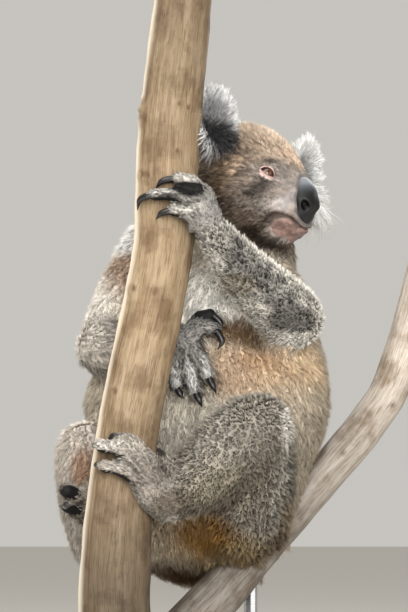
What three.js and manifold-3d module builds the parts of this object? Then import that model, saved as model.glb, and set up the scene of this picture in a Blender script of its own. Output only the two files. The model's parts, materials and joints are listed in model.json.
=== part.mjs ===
// A life-size still koala gripping the cut fork of a small tree, on a plain display stand.
// Millimetres. +Z is up, -Y is the front, and the origin is under the middle of the stand's base.
import * as THREE from "three";
import { mergeVertices } from "three/addons/utils/BufferGeometryUtils.js";
import Module from "manifold-3d";

const wasm = await Module();
wasm.setup();

// ---- driving sizes ----
const CLEARANCE = 0.35; // gap kept between two pieces that touch
const SMALLEST = 60; // mm3, a shaving that a cut leaves behind and that is dropped

const BODY_TURN = THREE.MathUtils.degToRad(-30); // the belly faces 30 degrees to the left of the front
const HEAD_AT = [47, 8, 608];
const HEAD_YAW = THREE.MathUtils.degToRad(-34); // the nose points right and a little forwards
const HEAD_ROLL = THREE.MathUtils.degToRad(-10.5); // the far ear hangs lower
const HEAD_PITCH = THREE.MathUtils.degToRad(-2);

const TRUNK_Y = -85; // the axis of the upright stem, in front of the belly
const EYE_RADIUS = 8;
const EYE_SHOWS = 3.4; // how far the eyeball stands out of the coat round it
const CLAW_TIP = 0.7;

const BASE = { width: 370, depth: 300, height: 18, corner: 40, edge: 3, at: [4, 4] };
const ROD_RADIUS = 7;
const ROD_SEAT = 24; // how deep a rod sits in the wood
const ROD_FOOT = { radius: 17, height: 4 };

// ---- materials ----
const finish = (color, roughness, metalness = 0) =>
  new THREE.MeshStandardMaterial({ color, roughness, metalness });
const GREY_COAT = finish(0x9c938a, 0.95);
const BROWN_COAT = finish(0xa08468, 0.95);
const PALE_COAT = finish(0xd8d0c4, 0.95);
const PAW_COAT = finish(0x8c8984, 0.9);
const NOSE_LEATHER = finish(0x2e2f33, 0.45);
const EYE_GLASS = finish(0x3a2112, 0.1);
const CLAW_HORN = finish(0x1d1c1e, 0.35);
const BARE_WOOD = finish(0xcbb08a, 0.75);
const BASE_WOOD = finish(0x4a3a2c, 0.5);
const STEEL = finish(0x9a9c9f, 0.35, 0.9);

// ---- from three.js geometry to solids ----
function solid(geometry) {
  geometry.deleteAttribute("normal");
  geometry.deleteAttribute("uv");
  const merged = mergeVertices(geometry, 1e-3);
  const corners = merged.index.array;
  const faces = [];
  for (let i = 0; i < corners.length; i += 3) {
    const [a, b, c] = corners.slice(i, i + 3);
    if (a !== b && b !== c && a !== c) faces.push(a, b, c);
  }
  return new wasm.Manifold(
    new wasm.Mesh({
      numProp: 3,
      vertProperties: merged.attributes.position.array,
      triVerts: Uint32Array.from(faces),
    }),
  );
}

const joined = (pieces) => pieces.reduce((whole, piece) => whole.add(piece));

// Moves every vertex of a geometry to the place that `to` gives for it.
function reshape(geometry, to) {
  const places = geometry.attributes.position;
  const vertex = new THREE.Vector3();
  for (let i = 0; i < places.count; i++) {
    vertex.copy(to(vertex.fromBufferAttribute(places, i)));
    places.setXYZ(i, vertex.x, vertex.y, vertex.z);
  }
  return geometry;
}

// ---- forms ----
// Bends a unit-radius form that stands on Y along stations of [x, y, z, radius].
function bent(geometry, height, stations, grow = 0, flatten = null) {
  const spine = new THREE.CatmullRomCurve3(stations.map(([x, y, z]) => new THREE.Vector3(x, y, z)));
  const girth = new THREE.SplineCurve(stations.map((s, i) => new THREE.Vector2(i, s[3])));
  const run = spine.getPoint(1).sub(spine.getPoint(0)).normalize();
  const aside = Math.abs(run.z) > 0.8 ? new THREE.Vector3(0, 1, 0) : new THREE.Vector3(0, 0, 1);
  return reshape(geometry, (v) => {
    const t = THREE.MathUtils.clamp(v.y / height + 0.5, 0, 1);
    const past = v.y - (t - 0.5) * height; // how far into a round end, in radii
    const along = spine.getTangent(t);
    const across = new THREE.Vector3().crossVectors(aside, along).normalize();
    const out = new THREE.Vector3().crossVectors(across, along);
    const offset = new THREE.Vector3()
      .addScaledVector(across, v.x)
      .addScaledVector(out, v.z)
      .addScaledVector(along, past)
      .multiplyScalar(girth.getPoint(t).y + grow);
    if (flatten) offset.addScaledVector(flatten.along, (flatten.share - 1) * offset.dot(flatten.along));
    return spine.getPoint(t).add(offset);
  });
}

// A limb with round ends.
const limb = (stations, { around = 9, rows = 4, caps = 2, flatten = null } = {}) => (grow) =>
  solid(bent(new THREE.CapsuleGeometry(1, 2, caps, around, rows), 2, stations, grow, flatten));

// A stem with flat sawn ends.
const stem = (stations, { around = 12, rows = 9 } = {}) => (grow) =>
  solid(bent(new THREE.CylinderGeometry(1, 1, 2, around, rows), 2, stations, grow));

const ball = (at, radius, facets = 1) => (grow) =>
  solid(new THREE.IcosahedronGeometry(radius + grow, facets).translate(...at));

// Signed distance to an egg of three radii, close enough near its surface.
function eggDistance(p, { at, radii }) {
  const q = new THREE.Vector3(...at).sub(p).divide(new THREE.Vector3(...radii));
  const scaled = q.clone().divide(new THREE.Vector3(...radii));
  const reach = q.length();
  return scaled.length() < 1e-9 ? -Math.min(...radii) : (reach * (reach - 1)) / scaled.length();
}

// Eggs blended into one soft form: the shorter distance, rounded off over `blend` where two are close.
function softDistance(p, eggs, blend) {
  return eggs.reduce((nearest, egg) => {
    const d = eggDistance(p, egg);
    const h = Math.max(blend - Math.abs(nearest - d), 0) / blend;
    return Math.min(nearest, d) - (h * h * blend) / 4;
  }, Infinity);
}

// How far the soft form reaches from its middle along a direction.
function reach(middle, direction, eggs, blend) {
  const start = new THREE.Vector3(...middle);
  let inside = 0;
  let outside = 260;
  const at = (s) => start.clone().addScaledVector(direction, s);
  for (let s = outside; s > 0; s -= 6) {
    if (softDistance(at(s), eggs, blend) < 0) {
      inside = s;
      outside = s + 6;
      break;
    }
  }
  for (let i = 0; i < 12; i++) {
    const half = (inside + outside) / 2;
    if (softDistance(at(half), eggs, blend) < 0) inside = half;
    else outside = half;
  }
  return inside;
}

// A soft form as a mesh, placed in the world by a frame.
const soft = ({ middle, eggs, blend, facets, frame }) => (grow) =>
  solid(
    reshape(new THREE.IcosahedronGeometry(1, facets), (v) => {
      const direction = v.clone().normalize();
      const distance = reach(middle, direction, eggs, blend) + grow;
      return direction.multiplyScalar(distance).add(new THREE.Vector3(...middle)).applyMatrix4(frame);
    }),
  );

const frameOf = (at, yaw, pitch = 0, roll = 0) =>
  new THREE.Matrix4()
    .makeRotationFromEuler(new THREE.Euler(roll, pitch, yaw, "ZYX"))
    .setPosition(...at);

// ---- the tree fork ----
const TRUNK = [
  [-87, TRUNK_Y, 72, 36],
  [-89, TRUNK_Y, 170, 37],
  [-88, TRUNK_Y, 221, 35.5],
  [-83.5, TRUNK_Y, 280, 34],
  [-77, TRUNK_Y, 339, 32],
  [-69.5, TRUNK_Y, 384, 32],
  [-58, TRUNK_Y, 439, 32],
  [-47, TRUNK_Y, 489, 31],
  [-39, TRUNK_Y, 544, 31],
  [-37.5, TRUNK_Y, 609, 32],
  [-34, TRUNK_Y, 672, 33.5],
  [-26, TRUNK_Y, 731, 31],
  [-19, TRUNK_Y, 800, 30],
];
const BRANCH = [
  [-83, -80, 93, 24],
  [-39, -45, 131, 27],
  [12, -5, 181, 26],
  [54, 30, 229, 24],
  [88, 50, 264, 23],
  [117, 61, 298, 22.5],
  [152, 75, 336, 22],
  [177, 80, 367, 22],
  [201, 85, 405, 22],
  [221, 90, 462, 22.5],
  [236, 92, 522, 23],
  [243, 93, 550, 23],
];
// Scars of shed twigs: [x, y, z, radius].
const KNOTS = [
  [-60, -100, 668, 8],
  [-60, -96, 650, 7],
  [-46, -108, 395, 6],
  [176, 64, 372, 8],
];
const trunk = (grow) => joined([stem(TRUNK)(grow), ...KNOTS.slice(0, 3).map((k) => ball(k, k[3])(grow))]);
const branch = (grow) => joined([stem(BRANCH, { around: 9, rows: 10 })(grow), ball(KNOTS[3], KNOTS[3][3])(grow)]);

// ---- head, in its own frame: X to the nose, Y to the left ear, Z up ----
const HEAD_FRAME = frameOf(HEAD_AT, HEAD_YAW, HEAD_PITCH, HEAD_ROLL);
const inHead = (x, y, z) => new THREE.Vector3(x, y, z).applyMatrix4(HEAD_FRAME).toArray();
const HEAD_BLEND = 22;
const HEAD = [
  { at: [-16, 0, 12], radii: [62, 67, 56] }, // skull
  { at: [2, 38, -22], radii: [44, 37, 39] }, // left cheek
  { at: [2, -38, -22], radii: [44, 37, 39] }, // right cheek
  { at: [24, 0, 10], radii: [34, 38, 29] }, // brow
  { at: [42, 0, -20], radii: [32, 31, 34] }, // bridge and muzzle
  { at: [50, 0, -36], radii: [25, 27, 20] }, // upper lip
  { at: [43, 0, -54], radii: [23, 20, 14] }, // chin
  { at: [14, 0, -44], radii: [42, 40, 24] }, // jaw
];
const head = soft({ middle: [0, 0, -12], eggs: HEAD, blend: HEAD_BLEND, facets: 4, frame: HEAD_FRAME });

// The leathery nose, from the bridge down to the lip: [forward, up, radius].
const NOSE = [
  [57, 4, 8],
  [67, -9, 13],
  [71, -27, 16],
  [65, -42, 12.5],
];
const nose = limb(
  NOSE.map(([x, z, r]) => [...inHead(x, 0, z), r]),
  { around: 10, rows: 5, caps: 2 },
);

// An eyeball sits where its line of sight leaves the face.
const EYE_LINE = [41, 34, 5];
const eye = (side) => {
  const line = new THREE.Vector3(EYE_LINE[0], side * EYE_LINE[1], EYE_LINE[2]).normalize();
  const face = reach([0, 0, -12], line, HEAD, HEAD_BLEND);
  const centre = line.multiplyScalar(face + EYE_SHOWS - EYE_RADIUS).add(new THREE.Vector3(0, 0, -12));
  return ball(inHead(...centre.toArray()), EYE_RADIUS);
};

// An ear is a thick round cup turned outwards, fringed all round its rim by long hair.
const EAR = { at: [5, 86, 40], radii: [14, 30, 32], turn: THREE.MathUtils.degToRad(10) };
const EAR_ROOT = { at: [-13, -27, -8], radii: [17, 28, 29] };
const CUP = { forward: 16, radii: [14, 20, 22] };
const FRINGE_TURNS = [-1.5, -1.1, -0.65, -0.15, 0.4, 1.0, 1.6, 2.2]; // round the rim, 0 outwards, + up
const FRINGE_REACH = [50, 53, 46, 38, 33, 30, 23, 13]; // the lower hair is the longest
const ear = (side) => {
  const frame = HEAD_FRAME.clone().multiply(
    frameOf([EAR.at[0], side * EAR.at[1], EAR.at[2]], side * EAR.turn),
  );
  const fringe = FRINGE_TURNS.map((turn, i) => ({
    at: [9, side * Math.cos(turn) * FRINGE_REACH[i], Math.sin(turn) * FRINGE_REACH[i]],
    radii: [13, 15, 15],
  }));
  const root = { at: [EAR_ROOT.at[0], side * EAR_ROOT.at[1], EAR_ROOT.at[2]], radii: EAR_ROOT.radii };
  const eggs = [{ at: [0, 0, 0], radii: EAR.radii }, root, ...fringe];
  const whole = soft({ middle: [0, 0, 0], eggs, blend: 18, facets: 3, frame });
  const cup = new THREE.Vector3(CUP.forward, 0, 2);
  const hollow = { middle: cup.toArray(), eggs: [{ at: cup.toArray(), radii: CUP.radii }], blend: 1 };
  return (grow) => whole(grow).subtract(soft({ ...hollow, facets: 1, frame })(-grow));
};

// ---- trunk of the body and neck; frame: X to the belly side's front, Y to the koala's left ----
const BODY_FRAME = frameOf([3, 46, 0], BODY_TURN - Math.PI / 2);
const TORSO = [
  { at: [-6, 4, 264], radii: [90, 92, 80] }, // rump
  { at: [-18, -44, 280], radii: [72, 62, 74] }, // right hip
  { at: [0, 0, 362], radii: [95, 128, 100] }, // belly
  { at: [62, -62, 384], radii: [46, 44, 44] }, // right flank, pushed out over the thigh
  { at: [-34, 70, 392], radii: [42, 46, 62] }, // left flank
  { at: [-4, 10, 440], radii: [80, 106, 92] }, // chest
  { at: [-6, 12, 505], radii: [60, 96, 52] }, // shoulders
];
const torso = soft({ middle: [0, 0, 370], eggs: TORSO, blend: 52, facets: 4, frame: BODY_FRAME });
const neck = limb(
  [
    [29, 60, 500, 72],
    [38, 42, 548, 68],
    [44, 24, 592, 60],
  ],
  { around: 10, rows: 2 },
);

// ---- arms ----
const LEFT_UPPER_ARM = [
  [64, 34, 514, 41],
  [76, 2, 486, 36],
  [88, -34, 466, 34],
];
const LEFT_FOREARM = [
  [90, -44, 465, 36],
  [68, -64, 482, 35],
  [44, -86, 502, 31],
  [18, -106, 532, 24],
  [4, -116, 550, 19],
];
const RIGHT_UPPER_ARM = [
  [-43, 36, 544, 43],
  [-76, 14, 494, 41],
  [-99, -4, 440, 37],
];
const RIGHT_FOREARM = [
  [-100, -8, 436, 37],
  [-66, -20, 430, 30],
  [-34, -34, 441, 21],
];

// ---- hands and feet ----
// A digit runs from the palm to its last pad, and a claw carries on from there.
const LEFT_HAND = {
  palm: [
    [3, -116, 550, 19],
    [-1, -117, 562, 18],
    [-3, -114, 574, 17],
  ],
  digits: [
    { run: [[-1, -113, 582, 10], [-13, -122, 592, 8], [-25, -123, 595, 7]], claw: [[-31, -122, 595], [-41, -121, 593], [-48, -117, 586]] },
    { run: [[-5, -118, 574, 10], [-28, -125, 579, 8], [-49, -122, 579, 6.5]], claw: [[-55, -119, 579], [-63, -112, 576], [-66, -105, 567]] },
    { run: [[-4, -118, 558, 10], [-18, -125, 561, 8], [-30, -124, 563, 6.5]], claw: [[-34, -123, 563], [-42, -121, 561], [-47, -117, 556]] },
    { run: [[2, -106, 556, 10], [0, -84, 552, 8], [-8, -60, 549, 7]], claw: [[-14, -52, 549], [-24, -47, 548], [-33, -47, 543]] },
    { run: [[0, -106, 572, 10], [2, -84, 571, 8], [-7, -58, 570, 7]], claw: [[-13, -52, 570], [-23, -47, 569], [-32, -46, 564]] },
  ],
};
const RIGHT_HAND = {
  palm: [
    [-34, -36, 442, 20],
    [-24, -44, 438, 18],
    [-19, -47, 430, 17],
  ],
  digits: [
    { run: [[-13, -50, 438, 9], [-4, -54, 422, 8], [4, -56, 405, 7]], claw: [[6, -58, 401], [9, -61, 394], [12, -61, 387]] },
    { run: [[-21, -50, 428, 10], [-15, -55, 408, 9], [-9, -57, 390, 7.5]], claw: [[-8, -59, 386], [-5, -62, 380], [-2, -62, 373]] },
    { run: [[-30, -50, 424, 9], [-30, -53, 408, 8], [-28, -55, 395, 7]], claw: [[-27, -57, 391], [-24, -59, 386], [-20, -60, 382]] },
    { run: [[-13, -50, 445, 9], [-2, -55, 454, 8], [10, -58, 452, 7]], claw: [[14, -60, 448], [18, -62, 439], [14, -63, 431]] },
    { run: [[-13, -44, 452, 9], [-4, -47, 464, 8], [6, -49, 467, 7]], claw: [[10, -50, 465], [16, -52, 459], [18, -54, 452]] },
  ],
};
const LEFT_FOOT = {
  palm: [
    [-31, -92, 277, 25],
    [-48, -112, 288, 21],
    [-58, -121, 304, 18],
  ],
  digits: [
    { run: [[-54, -120, 316, 11], [-70, -127, 334, 9], [-79, -126, 338, 7.5]], claw: [[-83, -125, 340], [-89, -121, 342], [-94, -117, 338]] },
    { run: [[-59, -123, 314, 12], [-80, -127, 328, 9.5], [-100, -118, 332, 7.5]], claw: [[-103, -115, 333], [-107, -110, 333], [-109, -106, 331]] },
    { run: [[-62, -124, 300, 12], [-80, -128, 309, 8.5], [-97, -120, 312, 7]], claw: [[-100, -118, 313], [-105, -113, 314], [-108, -108, 313]] },
    { run: [[-42, -108, 300, 12], [-40, -90, 314, 10], [-47, -70, 322, 9]], claw: null },
  ],
};
const RIGHT_FOOT = {
  palm: [
    [-106, -42, 268, 24],
    [-112, -54, 280, 20],
    [-110, -62, 292, 17],
  ],
  digits: [
    { run: [[-118, -60, 284, 10], [-128, -72, 286, 9], [-136, -80, 289, 8]], claw: null },
    { run: [[-117, -58, 268, 9], [-127, -68, 269, 7.5], [-136, -76, 273, 6.5]], claw: [[-137, -80, 274], [-136, -86, 275], [-132, -91, 274]] },
    { run: [[-104, -58, 302, 10], [-86, -44, 312, 8.5], [-72, -42, 318, 7]], claw: [[-67, -42, 319], [-58, -44, 319], [-52, -49, 316]] },
    { run: [[-106, -54, 286, 10], [-90, -42, 292, 8.5], [-76, -40, 296, 7]], claw: [[-71, -40, 297], [-62, -42, 297], [-56, -46, 294]] },
  ],
};

const paw = ({ palm, digits }) => (grow) =>
  joined([
    limb(palm, { around: 7, rows: 2, caps: 1 })(grow),
    ...digits.map(({ run }) => limb(run, { around: 5, rows: 2, caps: 1 })(grow)),
  ]);

const CLAW_ROOT = 3.6;
const claw = (line) =>
  limb(
    line.map((at, i) => [...at, CLAW_ROOT + ((CLAW_TIP - CLAW_ROOT) * i) / (line.length - 1)]),
    { around: 5, rows: 2, caps: 1 },
  );

// ---- legs ----
const LEFT_SHANK = [
  [50, -68, 350, 43],
  [30, -80, 334, 44],
  [8, -90, 312, 42],
  [-14, -94, 290, 33],
  [-30, -92, 277, 25],
];
const LEFT_THIGH = [
  [54, -60, 350, 43],
  [48, -30, 300, 52],
  [34, 4, 262, 62],
];
const RIGHT_SHANK = [
  [-119, -12, 328, 40],
  [-117, -28, 298, 35],
  [-108, -40, 270, 25],
];
const RIGHT_THIGH = [
  [-117, -4, 328, 43],
  [-109, 14, 284, 50],
  [-89, 26, 248, 60],
];

// ---- stand ----
function basePlate() {
  const { width, depth, height, corner, edge, at } = BASE;
  const [x, y] = [width / 2 - edge, depth / 2 - edge];
  const outline = new THREE.Shape();
  outline.moveTo(-x + corner, -y);
  outline.lineTo(x - corner, -y).absarc(x - corner, -y + corner, corner, -Math.PI / 2, 0);
  outline.lineTo(x, y - corner).absarc(x - corner, y - corner, corner, 0, Math.PI / 2);
  outline.lineTo(-x + corner, y).absarc(-x + corner, y - corner, corner, Math.PI / 2, Math.PI);
  outline.lineTo(-x, -y + corner).absarc(-x + corner, -y + corner, corner, Math.PI, Math.PI * 1.5);
  const plate = new THREE.ExtrudeGeometry(outline, {
    depth: height - 2 * edge,
    bevelThickness: edge,
    bevelSize: edge,
    bevelSegments: 1,
    curveSegments: 4,
  });
  return solid(plate.translate(...at, edge));
}

// A steel rod with a round foot, turned on its own axis.
const rod = ([x, y], top) => (grow) => {
  const profile = [
    [0, BASE.height + CLEARANCE - grow],
    [ROD_FOOT.radius + grow, BASE.height + CLEARANCE - grow],
    [ROD_FOOT.radius + grow, BASE.height + ROD_FOOT.height - 1],
    [ROD_FOOT.radius - 1 + grow, BASE.height + ROD_FOOT.height + grow],
    [ROD_RADIUS + grow, BASE.height + ROD_FOOT.height + grow],
    [ROD_RADIUS + grow, top - 1 + grow],
    [ROD_RADIUS - 1 + grow, top + grow],
    [0, top + grow],
  ];
  const turned = new THREE.LatheGeometry(profile.map(([r, h]) => new THREE.Vector2(r, h)), 9);
  return solid(turned.rotateX(Math.PI / 2).translate(x, y, 0));
};
const TRUNK_ROD = [[TRUNK[0][0], TRUNK_Y], TRUNK[0][2] + ROD_SEAT];
const BRANCH_ROD = [[BRANCH[3][0] - 6, BRANCH[3][1] - 4], BRANCH[3][2] - 10];

// ---- the pieces, hardest first: each later one gives way to those before it ----
const paws = { left_hand: LEFT_HAND, right_hand: RIGHT_HAND, left_foot: LEFT_FOOT, right_foot: RIGHT_FOOT };
const claws = Object.entries(paws).flatMap(([name, { digits }]) =>
  digits
    .map((digit, i) => [`claw_${name}_${i + 1}`, digit.claw, CLAW_HORN])
    .filter(([, line]) => line)
    .map(([label, line, material]) => [label, claw(line), material]),
);

const PIECES = [
  ["stand_rod_trunk", rod(...TRUNK_ROD), STEEL],
  ["stand_rod_branch", rod(...BRANCH_ROD), STEEL],
  ["perch_trunk", trunk, BARE_WOOD],
  ["perch_branch", branch, BARE_WOOD],
  ["eye_left", eye(1), EYE_GLASS],
  ["eye_right", eye(-1), EYE_GLASS],
  ["nose", nose, NOSE_LEATHER],
  ...claws,
  ...Object.entries(paws).map(([name, shape]) => [name, paw(shape), PAW_COAT]),
  ["torso", torso, BROWN_COAT],
  ["head", head, BROWN_COAT],
  ["ear_left", ear(1), PALE_COAT],
  ["ear_right", ear(-1), PALE_COAT],
  ["neck", neck, PALE_COAT],
  ["shank_left", limb(LEFT_SHANK, { around: 10 }), GREY_COAT],
  ["shank_right", limb(RIGHT_SHANK), GREY_COAT],
  ["thigh_left", limb(LEFT_THIGH), GREY_COAT],
  ["thigh_right", limb(RIGHT_THIGH), GREY_COAT],
  ["forearm_left", limb(LEFT_FOREARM, { around: 10, rows: 5 }), GREY_COAT],
  ["forearm_right", limb(RIGHT_FOREARM), GREY_COAT],
  ["upper_arm_left", limb(LEFT_UPPER_ARM), GREY_COAT],
  ["upper_arm_right", limb(RIGHT_UPPER_ARM), BROWN_COAT],
];

const apart = (a, b) =>
  [0, 1, 2].some((axis) => a.min[axis] > b.max[axis] || b.min[axis] > a.max[axis]);

function meshOf(name, shape, material) {
  const { vertProperties, triVerts } = shape.getMesh();
  const geometry = new THREE.BufferGeometry();
  geometry.setAttribute("position", new THREE.BufferAttribute(new Float32Array(vertProperties), 3));
  geometry.setIndex(new THREE.BufferAttribute(new Uint32Array(triVerts), 1));
  const flat = geometry.toNonIndexed();
  flat.computeVertexNormals();
  const mesh = new THREE.Mesh(flat, material);
  mesh.name = name;
  return mesh;
}

const koala = new THREE.Group();
const earlier = [];
for (const [name, form, material] of PIECES) {
  let shape = form(0);
  for (const { grown, box } of earlier) {
    if (!apart(shape.boundingBox(), box)) shape = shape.subtract(grown);
  }
  const [main] = shape
    .decompose()
    .filter((piece) => piece.volume() > SMALLEST || name.startsWith("claw"))
    .sort((a, b) => b.volume() - a.volume());
  const grown = form(CLEARANCE);
  earlier.push({ grown, box: grown.boundingBox() });
  koala.add(meshOf(name, main, material));
}
koala.add(meshOf("stand_base", basePlate(), BASE_WOOD));

export default koala;
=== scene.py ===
import bmesh
import bpy
import itertools
import json
import math
import numpy as np
from mathutils import Matrix, Vector
from mathutils.bvhtree import BVHTree
from mathutils.kdtree import KDTree

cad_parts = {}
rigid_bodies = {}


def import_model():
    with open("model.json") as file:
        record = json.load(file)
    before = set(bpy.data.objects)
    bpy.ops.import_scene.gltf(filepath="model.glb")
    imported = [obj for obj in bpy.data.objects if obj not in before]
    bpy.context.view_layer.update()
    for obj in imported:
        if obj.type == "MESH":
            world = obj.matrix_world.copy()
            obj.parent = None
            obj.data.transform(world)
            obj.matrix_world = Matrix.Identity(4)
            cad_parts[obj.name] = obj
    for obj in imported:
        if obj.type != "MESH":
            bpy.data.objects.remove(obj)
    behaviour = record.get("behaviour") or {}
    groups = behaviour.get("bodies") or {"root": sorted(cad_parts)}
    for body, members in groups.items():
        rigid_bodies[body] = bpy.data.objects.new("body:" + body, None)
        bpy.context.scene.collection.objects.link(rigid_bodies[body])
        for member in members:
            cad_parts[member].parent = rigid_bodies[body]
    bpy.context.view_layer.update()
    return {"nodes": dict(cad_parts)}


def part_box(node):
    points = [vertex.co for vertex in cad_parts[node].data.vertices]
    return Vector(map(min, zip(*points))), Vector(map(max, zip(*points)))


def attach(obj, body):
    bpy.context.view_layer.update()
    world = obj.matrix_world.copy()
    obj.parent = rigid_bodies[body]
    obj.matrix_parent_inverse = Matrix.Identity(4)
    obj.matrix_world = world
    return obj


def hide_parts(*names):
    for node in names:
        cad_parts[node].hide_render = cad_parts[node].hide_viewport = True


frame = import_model()
NODES = frame["nodes"]
MM = 0.001
chance = np.random.default_rng(20240611)


# ---- small helpers

def srgb(*rgb):
    """Colour given as 0-255 display values, as linear values."""
    c = np.asarray(rgb, float) / 255.0
    return np.where(c <= 0.04045, c / 12.92, ((c + 0.055) / 1.055) ** 2.4)


def unit(v):
    return v / np.maximum(np.linalg.norm(v, axis=-1, keepdims=True), 1e-12)


def ease(x, low, high):
    """0 below low, 1 above high, smooth between."""
    t = np.clip((x - low) / (high - low), 0, 1)
    return t * t * (3 - 2 * t)


def deselect():
    for o in bpy.context.view_layer.objects:
        o.select_set(False)


def activate(obj):
    deselect()
    obj.select_set(True)
    bpy.context.view_layer.objects.active = obj


def apply_modifier(obj, kind, **settings):
    modifier = obj.modifiers.new(kind.lower(), kind)
    for name, value in settings.items():
        setattr(modifier, name, value)
    activate(obj)
    bpy.ops.object.modifier_apply(modifier=modifier.name)


def places(mesh):
    out = np.empty(len(mesh.vertices) * 3)
    mesh.vertices.foreach_get("co", out)
    return out.reshape(-1, 3)


def set_places(mesh, co):
    mesh.vertices.foreach_set("co", np.asarray(co, np.float32).ravel())
    mesh.update()


def normals(mesh):
    out = np.empty(len(mesh.vertices) * 3, np.float32)
    mesh.vertex_normals.foreach_get("vector", out)
    return out.reshape(-1, 3).astype(float)


def paint(mesh, colours, name="coat"):
    """Keeps a colour at each vertex."""
    data = np.ones((len(colours), 4), np.float32)
    data[:, :3] = colours
    mesh.attributes.new(name, "FLOAT_COLOR", "POINT").data.foreach_set("color", data.ravel())


def note(mesh, vectors, name):
    """Keeps a vector at each vertex."""
    kept = mesh.attributes.new(name, "FLOAT_VECTOR", "POINT")
    kept.data.foreach_set("vector", vectors.astype(np.float32).ravel())


def edges_of(mesh):
    out = np.empty(len(mesh.edges) * 2, np.int32)
    mesh.edges.foreach_get("vertices", out)
    return out.reshape(-1, 2)


def spread(values, edges, rounds, share=0.5):
    """Averages per-vertex values over their neighbours; share may be one number or one per vertex."""
    count = np.bincount(edges.ravel(), minlength=len(values)).astype(float)
    count[count == 0] = 1
    flat = values.reshape(len(values), -1).copy()
    share = np.asarray(share, float)
    share = share[:, None] if share.ndim else share
    for _ in range(rounds):
        mean = np.empty_like(flat)
        for c in range(flat.shape[1]):
            mean[:, c] = (
                np.bincount(edges[:, 0], flat[edges[:, 1], c], len(flat))
                + np.bincount(edges[:, 1], flat[edges[:, 0], c], len(flat))
            ) / count
        flat += (mean - flat) * share
    return flat.reshape(values.shape)


def smooth_noise(points, scale, seed=0):
    """Seeded value noise in 0..1 on numpy points."""
    p = points * scale + 1000.0
    cell = np.floor(p).astype(np.int64)
    f = p - cell
    f = f * f * (3 - 2 * f)
    total = np.zeros(len(points))
    for corner in itertools.product((0, 1), repeat=3):
        mixed_up = seed * 2654435
        weight = 1
        for axis, (step, prime) in enumerate(zip(corner, (73856093, 19349663, 83492791))):
            mixed_up = mixed_up ^ (cell[:, axis] + step) * prime
            weight = weight * (f[:, axis] if step else 1 - f[:, axis])
        mixed_up = (mixed_up ^ (mixed_up >> 13)) * 1274126177 & 0xFFFFFFFF
        total += weight * ((mixed_up >> 8) & 0xFFFF) / 65535.0
    return total


def patch(points, middle, radii, soft=0.45):
    """1 inside an egg given in millimetres, 0 outside, soft at its edge."""
    away = np.linalg.norm((points / MM - middle) / np.asarray(radii, float), axis=1)
    return ease(-away, -(1 + soft), -(1 - soft))


def edit_all(obj, operator, **settings):
    """Runs one edit mode operator on everything in the mesh."""
    activate(obj)
    bpy.ops.object.mode_set(mode="EDIT")
    bpy.ops.mesh.select_all(action="SELECT")
    operator(**settings)
    bpy.ops.object.mode_set(mode="OBJECT")


def ball_of(segments, rings, radius=1):
    bpy.ops.mesh.primitive_uv_sphere_add(segments=segments, ring_count=rings, radius=radius)
    return bpy.context.object


def placed(name, data):
    obj = bpy.data.objects.new(name, data)
    bpy.context.collection.objects.link(obj)
    return obj


def merged_copy(node, name):
    """A closed copy of a CAD node, whose own mesh is loose triangles."""
    obj = placed(name, NODES[node].data.copy())
    obj.data.materials.clear()
    edit_all(obj, bpy.ops.mesh.remove_doubles, threshold=1e-6)
    return obj


def joined(objects, name):
    deselect()
    for o in objects:
        o.select_set(True)
    bpy.context.view_layer.objects.active = objects[0]
    bpy.ops.object.join()
    objects[0].name = name
    objects[0].data.name = name
    return objects[0]


def remeshed(obj, voxel):
    obj.data.remesh_voxel_size = voxel
    obj.data.remesh_voxel_adaptivity = 0
    activate(obj)
    bpy.ops.object.voxel_remesh()
    return obj


# ---- the head's own frame
# X runs to the nose, Y to the left ear, Z up, in metres.

HEAD_FRAME = (
    Matrix.Translation((0.047, 0.008, 0.608))
    @ Matrix.Rotation(math.radians(-34), 4, "Z")
    @ Matrix.Rotation(math.radians(-2), 4, "Y")
    @ Matrix.Rotation(math.radians(-10.5), 4, "X")
)
HEAD_AXES = np.array(HEAD_FRAME.to_3x3())
HEAD_AT = np.array(HEAD_FRAME.translation)


def to_head(points):
    return (points - HEAD_AT) @ HEAD_AXES


def from_head(points):
    return np.asarray(points, float) @ HEAD_AXES.T + HEAD_AT


def head_direction(v):
    return np.asarray(v, float) @ HEAD_AXES.T


# ---- tubes for digits, claws and ears

def along(stations, t):
    """Catmull-Rom through rows of [x, y, z, radius] at every t from 0 to 1."""
    p = np.asarray(stations, float)
    p = np.vstack([2 * p[0] - p[1], p, 2 * p[-1] - p[-2]])
    p[0, 3], p[-1, 3] = p[1, 3], p[-2, 3]
    u = np.asarray(t, float) * (len(p) - 3)
    i = np.minimum(u.astype(int), len(p) - 4)
    f = (u - i)[:, None]
    a, b, c, d = p[i], p[i + 1], p[i + 2], p[i + 3]
    return 0.5 * (2 * b + (c - a) * f + (2 * a - 5 * b + 4 * c - d) * f * f
                  + (3 * b - a - 3 * c + d) * f ** 3)


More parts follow.
